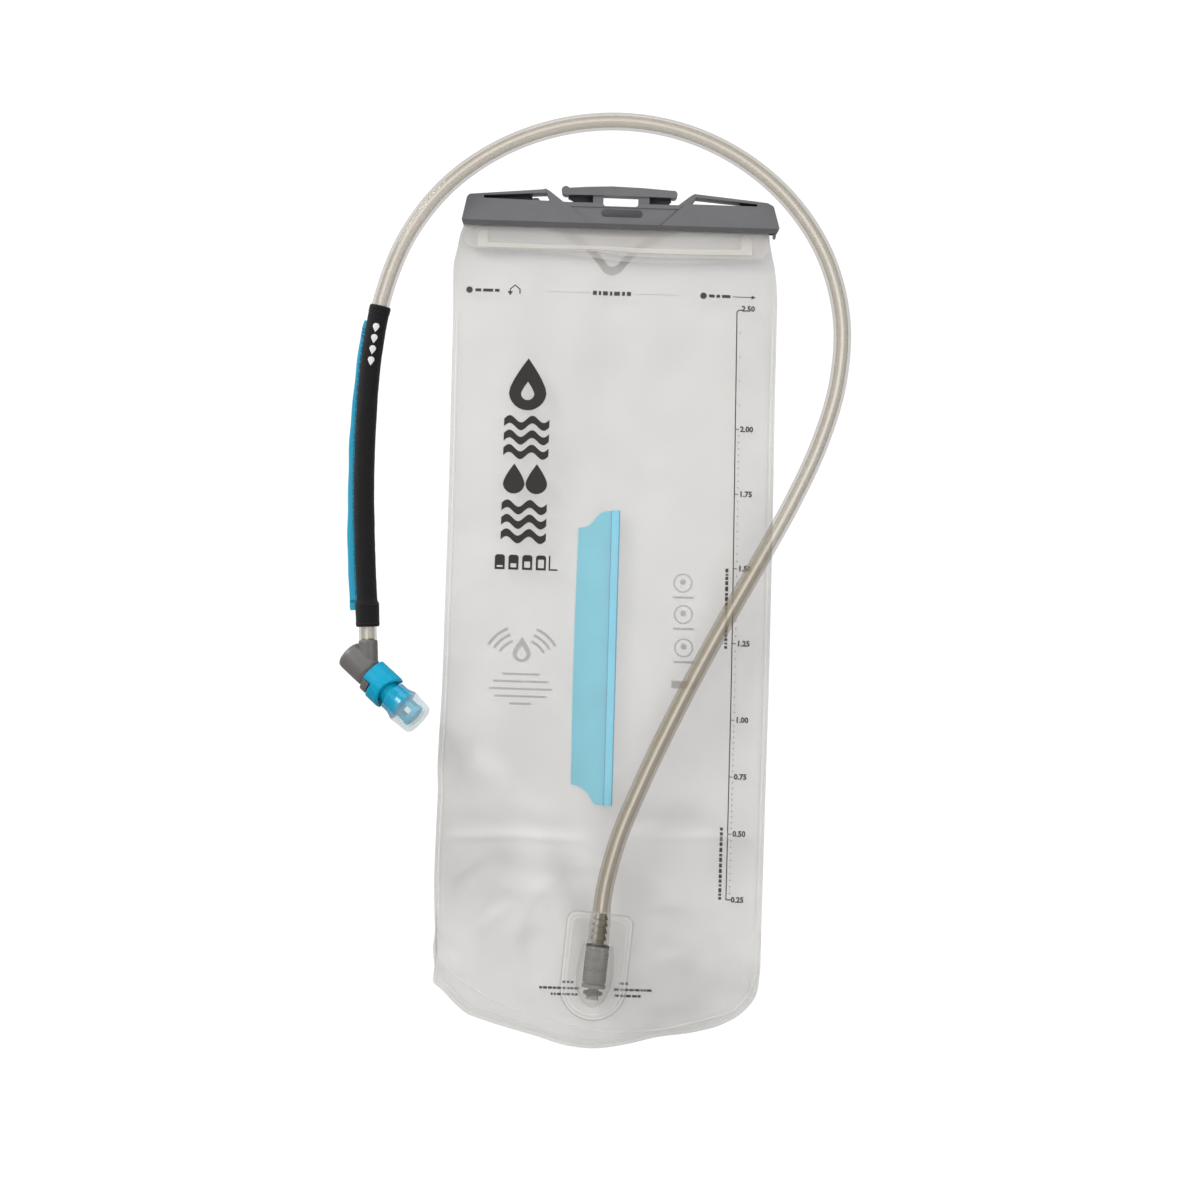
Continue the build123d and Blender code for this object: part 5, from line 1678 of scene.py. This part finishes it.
def build_stitches():
    verts, faces = [], []
    # bar tacks across the tape near both of its ends
    for share in (0.035, 0.045, 0.055, 0.965, 0.975):
        i = int(share * (len(TAPE) - 1))
        reach = TAPE_REACH[i]
        for side in (-1, 1):
            center = TAPE[i] + TAPE_SIDE[i] * (5.6 + (reach - 5.6) * 0.5)
            add_stitch(verts, faces, center + np.array([0, side * 0.86, 0]), TAPE_SIDE[i],
                       (reach - 5.4) * 0.5, 0.16, (0, side, 0))
    # a running seam along both faces of the tape
    seam_pitch, seam_margin = 2.3, 9.0
    s = TAPE_S[0] + seam_margin
    while s < TAPE_S[-1] - seam_margin:
        i = int(np.argmax(TAPE_S > s))
        for side in (-1, 1):
            center = TAPE[i] + TAPE_SIDE[i] * 5.95 + np.array([0, side * 0.93, 0])
            add_stitch(verts, faces, center, SLEEVE_T[TAPE_FIRST + i], 0.75, 0.13,
                       (0, side, 0))
        s += seam_pitch
    # rings round the sleeve: distance along it, radius
    for s, r in ((3.2, 5.78), (SLEEVE_LENGTH - 12.0, 6.42), (SLEEVE_LENGTH - 2.2, 6.36)):
        i = int(np.argmax(SLEEVE_S > s))
        for k in range(22):
            a = TURN * k / 22
            normal = SLEEVE_N1[i] * math.cos(a) + SLEEVE_N2[i] * math.sin(a)
            tangent = -SLEEVE_N1[i] * math.sin(a) + SLEEVE_N2[i] * math.cos(a)
            add_stitch(verts, faces, SLEEVE[i] + normal * r, tangent, 0.55, 0.13, normal)
    add_piece("sleeve_stitches", np.array(verts), faces, "thread_black", "tube", "sleeve",
              angle=60, uv=np.zeros((len(verts), 2)))


def sleeve_point(across, s):
    """A place on the sleeve: the tube's centre, the normal and the radius there."""
    i = int(np.clip(np.searchsorted(SLEEVE_S, s), 1, len(SLEEVE_S) - 1))
    t = (s - SLEEVE_S[i - 1]) / (SLEEVE_S[i] - SLEEVE_S[i - 1])
    center = SLEEVE[i - 1] * (1 - t) + SLEEVE[i] * t
    ripple = sleeve_ripple(np.array([[across / SLEEVE_R]]), np.array([[s]]))
    a = -across / SLEEVE_R - 0.08
    normal = SLEEVE_N1[i] * math.cos(a) + SLEEVE_N2[i] * math.sin(a)
    return center, normal, SLEEVE_R + float(ripple[0, 0])


def build_sleeve_print():
    """Four plain drops following the sleeve's round surface."""
    verts, faces = [], []
    for place in (11.5, 17.5, 23.5, 29.5):
        flat, tris = fill2d([[(x, z + place) for x, z in drop(0, 0, 1.75, 20)]], 0.9)
        base, n = len(verts), len(flat)
        spots = [sleeve_point(across, s) for across, s in flat]
        verts += [center + normal * (r + 0.16) for center, normal, r in spots]
        verts += [center + normal * (r - 0.15) for center, normal, r in spots]
        faces += [tuple(base + j for j in tri) for tri in tris]
        faces += [tuple(base + n + j for j in reversed(tri)) for tri in tris]
        edges = [pair for tri in tris for pair in zip(tri, tri[1:] + tri[:1])]
        directed = set(edges)
        faces += [(base + b, base + a, base + n + a, base + n + b)
                  for a, b in edges if (b, a) not in directed]
    add_piece("sleeve_print", np.array(verts), faces, "sleeve_print", "tube", "sleeve",
              angle=50)


# =====================================================================
# bite valve: a barrel pointing right, down and a little forward from the elbow
# =====================================================================
DROOP, FORWARD = math.radians(40.6), math.radians(12)
VALVE_DIR = np.array([math.cos(FORWARD) * math.cos(DROOP), -math.sin(FORWARD),
                      -math.cos(FORWARD) * math.sin(DROOP)])
VALVE = ELBOW - VALVE_DIR * 16.4  # closed end of the barrel
VALVE_X, VALVE_Y, VALVE_Z = axis_frame(VALVE_DIR)
# the neck's direction flattened across the barrel, and its angle round it
UPWARD = NECK_DIR - (NECK_DIR @ (VALVE_DIR / np.linalg.norm(VALVE_DIR))) * VALVE_DIR
UPWARD = UPWARD / np.linalg.norm(UPWARD)
neck_across = NECK_DIR - (NECK_DIR @ VALVE_Z) * VALVE_Z
UP_ANGLE = math.atan2(neck_across @ VALVE_Y, neck_across @ VALVE_X)
BACK_CENTER = VALVE + UPWARD * 0.45  # the thicker back shell sits a little high

# profiles: radius, height along the axis[, corner radius]
BARREL = [
    (0, 0.75), (6.3, 0.75, 0), (7.0, 1.1, 0.5), (7.4, 2.0, 0.8), (7.55, 3.6, 0.8),
    (7.55, 16.6, 0.3), (7.2, 17.2, 0.1), (7.2, 24.0, 0.2), (5.6, 24.0, 0.1), (5.6, 2.6, 0.1),
    (0, 2.6)]
NECK = [
    (0, -3.0), (5.1, -3.0, 0), (5.1, 17.2, 0.7), (4.6, 17.95, 0.2), (3.12, 17.95, 0.1),
    (3.12, 18.3, 0), (2.9, 18.7, 0.1), (0, 18.7)]
BACK_SHELL = [
    (0, 0.4), (6.5, 0.4, 0), (7.35, 0.9, 0.5), (7.85, 2.0, 0.8), (8.0, 3.8, 0.8),
    (8.0, 15.4, 0.9), (7.3, 16.6, 0.4), (0, 16.6)]
END_DISC = [(0, 0.0), (5.4, 0.0), (6.2, 0.2), (6.4, 0.38), (0, 0.38)]
COLLAR = [
    (7.26, 23.3), (9.7, 23.3), (9.85, 24.2), (9.85, 31.6), (9.3, 33.2), (8.5, 33.3),
    (7.7, 31.0), (6.55, 30.6), (6.55, 24.4), (7.26, 24.4)]
CORE = [
    (0, 2.95), (5.5, 2.95), (5.5, 7.0), (4.8, 7.0), (4.8, 8.4), (5.5, 8.4), (5.5, 21.2),
    (4.8, 21.2), (4.8, 22.6), (5.5, 22.6), (5.5, 24.35), (6.5, 24.35), (6.5, 39.2),
    (5.9, 40.0), (4.6, 40.0), (4.6, 30.0), (3.0, 26.0), (3.0, 12.0), (0, 12.0)]
FLOW_RING = [(4.9, 48.8), (6.3, 48.8), (6.2, 50.8), (5.3, 51.2), (4.9, 50.8)]
FLARE = [
    (4.7, 38.6), (6.3, 38.6), (6.5, 40.3), (7.1, 41.6), (7.1, 42.4), (5.4, 42.4),
    (4.7, 41.6)]
CAP = [
    # outside
    (8.15, 33.9), (8.15, 36.6), (8.3, 38.2), (8.9, 40.2), (9.6, 41.8), (9.8, 42.6),
    (9.65, 43.4), (9.4, 45.6), (9.15, 49.0), (8.95, 52.0), (8.6, 53.6), (7.7, 54.5),
    (6.6, 54.7), (0, 54.75),
    # inside
    (0, 52.9), (6.0, 52.8), (7.4, 51.8), (7.8, 48.6), (8.1, 44.2), (8.0, 42.8),
    (6.56, 40.6), (6.56, 33.7), (7.8, 33.7)]


def valve_turned(profile, segments, radius=None, steps=3):
    return turned(profile, VALVE, VALVE_DIR, segments, radius, steps)


def arc_block(r0, r1, h0, h1, a0, a1, n=18):
    """Raw block bent round the barrel between two radii, heights and angles."""
    verts, faces = [], []
    for i in range(n + 1):
        a = a0 + (a1 - a0) * i / n
        out = VALVE_X * math.cos(a) + VALVE_Y * math.sin(a)
        for r, h in ((r0, h0), (r1, h0), (r1, h1), (r0, h1)):
            verts.append(VALVE + out * r + VALVE_Z * h)
    for i in range(n):
        for k in range(4):
            j = (k + 1) % 4
            faces.append((i * 4 + k, i * 4 + j, (i + 1) * 4 + j, (i + 1) * 4 + k))
    faces += [(3, 2, 1, 0), tuple(n * 4 + k for k in range(4))]
    return raw_object(verts, faces)


def build_elbow():
    barrel = valve_turned(BARREL, 72, 0.3, 4)
    neck = turned(NECK, ELBOW, NECK_DIR, 64, 0.3)
    back_shell = turned(BACK_SHELL, BACK_CENTER, VALVE_DIR, 72, 0.3, 4)
    barrel = boolean(barrel, [back_shell], "UNION")
    bore = valve_turned([(0, 2.4), (5.6, 2.4), (5.6, 25.0), (0, 25.0)], 72)
    neck_bore = turned([(0, 0.0), (2.2, 0.0), (2.2, 32.0), (0, 32.0)], ELBOW, NECK_DIR, 40)
    elbow = boolean(barrel, [neck], "UNION")
    elbow = boolean(elbow, [bore, neck_bore], "DIFFERENCE")
    # stop tab on the side away from the neck
    tab_angle = UP_ANGLE + math.pi
    tab = arc_block(7.0, 9.1, 18.6, 22.4, tab_angle - math.radians(80),
                    tab_angle - math.radians(20))
    elbow = boolean(elbow, [tab], "UNION")
    finish_raw(elbow, "valve_elbow", "valve_grey", "elbow", ("valve_body",),
               angle=32, bevel=0.18, bevel_angle=50)


def build_end_disc():
    profile = round_profile(END_DISC, 0.25)
    add_piece("valve_end_disc", *lathe(profile, BACK_CENTER, VALVE_DIR, 56), "valve_grey",
              "elbow", "grey", ("valve_end_cap",))


def build_collar():
    """Fluted ring with a scooped rim, and a skirt behind it over the neck's side."""
    verts, faces = lathe(round_profile(COLLAR, 0.45, 4), VALVE, VALVE_DIR, 144)
    verts = np.array(verts)
    height, out, radius = radial_parts(verts, VALVE, VALVE_Z)
    angle = np.arctan2(out @ VALVE_Y, out @ VALVE_X)
    flutes = (0.5 + 0.5 * np.cos(angle * 18)) ** 6
    depth = np.where(radius > 9.0, -0.42 * flutes * ease(24.2, 25.6, height)
                     * ease(32.0, 30.6, height), 0)
    verts = push_out(verts, out, radius, depth)
    # the rim is scooped on its front and back
    scoop = 3.6 * np.abs(np.cos(angle)) ** 1.6 * np.clip((height - 25.0) / 8.3, 0, 1)
    ring = raw_object(verts - VALVE_Z[None] * scoop[:, None], faces)
    reach = math.radians(95)
    skirt = arc_block(7.26, 9.75, 17.8, 24.6, UP_ANGLE - reach, UP_ANGLE + reach, 36)
    collar = boolean(ring, [skirt], "UNION")
    finish_raw(collar, "collar_blue_ring", "collar_blue", "shutoff",
               ("twist_collar",), angle=34, bevel=0.3, bevel_angle=55, segments=3)


def build_core():
    core = valve_turned(CORE, 64, 0.25)
    cross_bore = turned([(0, 0.0), (2.1, 0.0), (2.1, 8.0), (0, 8.0)], ELBOW, NECK_DIR, 36)
    core = boolean(core, [cross_bore], "DIFFERENCE")
    # flow ring on four spokes, seen through the clear cap
    parts = [valve_turned(FLOW_RING, 48, 0.25), valve_turned(FLARE, 48, 0.25)]
    for k in range(4):
        a = UP_ANGLE + math.pi / 4 + k * math.pi / 2
        parts.append(arc_block(5.0, 6.1, 41.6, 49.2, a - 0.24, a + 0.24, 5))
    core = boolean(core, parts, "UNION")
    finish_raw(core, "core_blue_nozzle", "core_blue", "shutoff", ("valve_core",),
               angle=34)


def cap_squash(r, h):
    """The cap flattens towards its lips."""
    k = float(ease(46, 54, h)) * 0.16
    return r * (1 - 0.8 * k), r


def slit_cutter():
    """Thin lens-shaped blade through the cap's end."""
    upper = []
    for i in range(13):
        t = -1 + i / 6
        upper.append((t * 4.6, 0.13 + 0.07 * (1 - t * t)))
    points = upper + [(a, -b) for a, b in upper[::-1]]
    verts = [VALVE + VALVE_X * a + VALVE_Y * b + VALVE_Z * h
             for h in (51.5, 56.5) for a, b in points]
    return raw_object(verts, prism_faces(len(points)))


def build_cap():
    profile = round_profile(CAP, 0.35)
    cap = raw_object(*lathe(profile, VALVE, VALVE_DIR, 96, squash=cap_squash))
    cap = boolean(cap, [slit_cutter()], "DIFFERENCE")
    for name, blue_end, alpha in (("cap_silicone", 0.0425, 0.33),
                                  ("cap_silicone_base", 0.0435, 0.74),
                                  ("cap_silicone_inner", 0.0425, 0.08)):
        silicone(name, VALVE * 0.001, VALVE_DIR, blue_end, white_start=0.0475, alpha=alpha)
    finish_raw(cap, "cap_clear", "cap_silicone", "cap", ("bite_cap",), angle=40)
    fade_bore(cap, "cap_silicone_inner", VALVE, VALVE_DIR, 8.4)
    # where the cap hugs the core its thick wall carries the core's blue to the edge
    cap.data.materials.append(MAT["cap_silicone_base"])
    for face in cap.data.polygons:
        height = (np.array(face.center) / MM - VALVE) @ VALVE_DIR
        if face.material_index == 0 and height < 41.6:
            face.material_index = 2


# =====================================================================
# slider bar: the CAD part with rounded edges, and small pieces on it
# =====================================================================
def round_slider_bar():
    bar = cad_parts["slider_bar"]
    bar.data.materials.clear()
    bar.data.materials.append(MAT["bar_grey"])
    flat = bar.modifiers.new("flat", "DECIMATE")
    flat.decimate_type = "DISSOLVE"
    flat.angle_limit = math.radians(0.8)
    bevel = bar.modifiers.new("bev", "BEVEL")
    bevel.width = 0.0006
    bevel.segments = 3
    bevel.limit_method = "ANGLE"
    bevel.angle_limit = math.radians(14)
    bevel.use_clamp_overlap = True


def pill(cx, cz, half_width, r, n=12):
    points = []
    for side in (1, -1):
        for i in range(n + 1):
            a = -side * math.pi / 2 + math.pi * i / n
            points.append((cx + side * (half_width - r) + r * math.cos(a),
                           cz + r * math.sin(a)))
    return points


ARCH = [(-52.6 + 5.2 * math.cos(a), 4.3 * math.sin(a))
        for a in np.linspace(math.pi * 0.98, 0.25, 12)]
# name, outline (x, z), front y, back y, material, bevel
BAR_PIECES = [
    # walls behind the wedge slots and under the strap's ends, deep in the bar, in the darker grey as
    # painted shade
    ("bar_slot_wall_left", [(-75.0, -1.6), (-75.0, 1.9), (-66, 2.4), (-58.4, 2.9), *ARCH[3:],
                            (-47.2, 0.2), (-46.6, -1.6)], 1.7, 4.1, "bar_grey_dark_and_shade", 0.3),
    ("bar_slot_wall_right", [(62.0, -2.4), (63.8, -0.6), (67.5, 1.4), (74.2, 1.2),
                             (74.4, -2.4)], 1.7, 4.1, "bar_grey_dark_and_shade", 0.3),
    ("bar_strap_root_left", [(-27.6, 2.4), (-28.2, 0.6), (-25.6, -0.4), (-24.6, -2.6),
                             (-14.0, -2.6), (-14.0, 2.3)], 0.2, 2.8, "bar_grey_dark_and_shade", 0.3),
    ("bar_strap_root_right", [(14.6, 2.4), (14.6, -2.6), (25.6, -2.6), (26.4, -0.6),
                              (27.6, 0.6), (27.0, 2.4)], 0.2, 2.8, "bar_grey_dark_and_shade", 0.3),
    # plain pill boss in the middle of the front recess, and its two slanting edges; the right edge
    # is a painted shade line in the darker grey
    ("bar_badge", pill(1.0, -7.6, 11.0, 1.9), -8.35, -7.7, "bar_grey_dark_and_shade", 0.12),
    ("bar_edge_left", [(-28.3, -3.9), (-27.6, -3.9), (-14.5, -14.3), (-15.2, -14.3)],
     -8.62, -8.2, "bar_grey", 0.08),
    ("bar_edge_right", [(33.4, -2.6), (34.0, -2.6), (22.0, -13.4), (21.4, -13.4)],
     -8.58, -8.2, "bar_grey_dark_and_shade", 0.08),
]


def build_bar_pieces():
    for name, outline, y0, y1, material, bevel in BAR_PIECES:
        finish_raw(raw_object(*prism(outline, y0, y1)), name, material, "slider",
                   bevel=bevel, bevel_angle=40)


def smooth_cad_nodes(degrees=28):
    """Smooth shading as a modifier, so that the CAD meshes aren't touched."""
    group = bpy.data.node_groups.new("smooth_by_angle", "GeometryNodeTree")
    for direction in ("INPUT", "OUTPUT"):
        group.interface.new_socket("Geometry", in_out=direction,
                                   socket_type="NodeSocketGeometry")
    nodes, link = group.nodes, group.links.new
    group_in, group_out = nodes.new("NodeGroupInput"), nodes.new("NodeGroupOutput")
    angle = nodes.new("GeometryNodeInputMeshEdgeAngle")
    compare = nodes.new("FunctionNodeCompare")
    compare.data_type = "FLOAT"
    compare.operation = "LESS_EQUAL"
    link(angle.outputs[0], compare.inputs[0])
    compare.inputs[1].default_value = math.radians(degrees)
    faces = nodes.new("GeometryNodeSetShadeSmooth")
    edges = nodes.new("GeometryNodeSetShadeSmooth")
    faces.domain = "FACE"
    edges.domain = "EDGE"
    link(group_in.outputs[0], faces.inputs["Geometry"])
    faces.inputs["Shade Smooth"].default_value = True
    link(faces.outputs[0], edges.inputs["Geometry"])
    link(compare.outputs[0], edges.inputs["Shade Smooth"])
    link(edges.outputs[0], group_out.inputs[0])
    for name in ("slider_bar", "valve_seat", "shutoff_poppet", "poppet_seal",
                 "poppet_spring", "plug_o_rings", "core_o_rings"):
        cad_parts[name].modifiers.new("smooth", "NODES").node_group = group


# =====================================================================
# stage, lights, camera (metres)
# =====================================================================
FLOOR_Z = -0.56
FLOOR_BEND_Y, FLOOR_BEND_R = 0.35, 0.45
LIGHT_TARGET = (0, 0, -0.2)
# name, place, width, energy, height (None for a square)
LIGHTS = [
    ("key", (-1.25, -0.95, 0.95), 0.5, 24, None),
    ("fill", (1.1, -1.5, 0.1), 1.2, 8.8, None),
    ("top", (0.0, -0.3, 1.3), 1.0, 9, None),
    ("back_l", (-1.2, 0.5, 0.4), 0.8, 5, None),
    ("strip", (-0.72, -1.2, -0.1), 0.06, 2.0, 1.3),
]


def floor_material():
    """Pale and near white to the camera, grey to other rays, clear from behind."""
    nt, shader = new_material("floor_pale")
    feed(nt, shader, {"Base Color": (0.42, 0.42, 0.42, 1), "Roughness": 0.9,
                      "Specular IOR Level": 0.1})
    glow = node(nt, "Emission", {0: (1, 1, 1, 1), 1: 1.22})
    through = node(nt, "BsdfTransparent")
    rays = node(nt, "LightPath")
    geometry = node(nt, "NewGeometry")
    shaded_share = 0.22  # how much of the shaded surface the camera sees
    seen = node(nt, "MixShader", {0: shaded_share, 1: glow.outputs[0], 2: shader.outputs[0]})
    front = node(nt, "MixShader", {0: rays.outputs["Is Camera Ray"], 1: shader.outputs[0],
                                   2: seen.outputs[0]})
    both = node(nt, "MixShader", {0: geometry.outputs["Backfacing"], 1: front.outputs[0],
                                  2: through.outputs[0]})
    nt.links.new(both.outputs[0], nt.nodes["Material Output"].inputs[0])


def build_floor():
    profile = [(-3.0, FLOOR_Z), (FLOOR_BEND_Y, FLOOR_Z)]
    for i in range(1, 17):
        a = math.pi / 2 * i / 16
        profile.append((FLOOR_BEND_Y + FLOOR_BEND_R * math.sin(a),
                        FLOOR_Z + FLOOR_BEND_R * (1 - math.cos(a))))
    profile.append((FLOOR_BEND_Y + FLOOR_BEND_R, 3.0))
    verts = [(x, y, z) for x in (-4.0, 4.0) for y, z in profile]
    n = len(profile)
    me = bpy.data.meshes.new("floor")
    me.from_pydata(verts, [], [(n + i, n + i + 1, i + 1, i) for i in range(n - 1)])
    for face in me.polygons:
        face.use_smooth = True
    floor = link_object("floor", me)
    floor_material()
    me.materials.append(MAT["floor_pale"])


def build_lights():
    for name, place, width, energy, height in LIGHTS:
        light = bpy.data.lights.new(name, "AREA")
        light.energy = energy
        light.size = width
        if height:
            light.shape = "RECTANGLE"
            light.size_y = height
        o = link_object(name, light)
        o.location = place
        aim = Vector(LIGHT_TARGET) - Vector(place)
        o.rotation_euler = aim.to_track_quat("-Z", "Y").to_euler()


def set_world():
    world = bpy.data.worlds.new("w")
    scene.world = world
    world.use_nodes = True
    background = world.node_tree.nodes["Background"]
    background.inputs["Color"].default_value = (1, 1, 1, 1)
    background.inputs["Strength"].default_value = 0.62
    scene.view_settings.view_transform = "Standard"
    scene.cycles.transparent_max_bounces = 32


def build_camera():
    """Looks along +Y, rolled slightly about its own axis."""
    roll = math.radians(1.8)
    camera = bpy.data.cameras.new("cam")
    camera.lens = 83.33
    camera.sensor_width = 36.0
    o = link_object("cam", camera)
    right = Vector((math.cos(roll), 0, math.sin(roll)))
    up = Vector((-math.sin(roll), 0, math.cos(roll)))
    matrix = Matrix((right, up, right.cross(up))).transposed().to_4x4()
    matrix.translation = Vector((-0.004194, -1.5, -0.215536))
    o.matrix_world = matrix
    scene.camera = o


# =====================================================================
# build, in order
# =====================================================================
make_materials()
build_films()
build_lip("mouth_lip_outer", LIP_OUTER, layer=0, radius=1.75)
build_lip("mouth_lip_inner", LIP_INNER, layer=1, radius=1.25)
build_weld_lines()
build_scale()
build_fill_line()
build_drops()
build_levels()
build_outlet_rows()
build_back_print()
build_stiffener("stiffener_outer", STIFFENER, 0, "lip_stiffener_rear")
build_stiffener("stiffener_inner", [(x * 0.985, z - 0.4) for x, z in STIFFENER], 1,
                "lip_stiffener_front")
build_baffle()
build_baffle_web()
build_port_plate()
build_port_rims()
build_socket()
build_plug()
color_cad_nodes()
build_tube()
build_sleeve()
build_tape()
build_stitches()
build_sleeve_print()
build_elbow()
build_end_disc()
build_collar()
build_core()
build_cap()
round_slider_bar()
build_bar_pieces()
smooth_cad_nodes()
build_floor()
build_lights()
set_world()
build_camera()
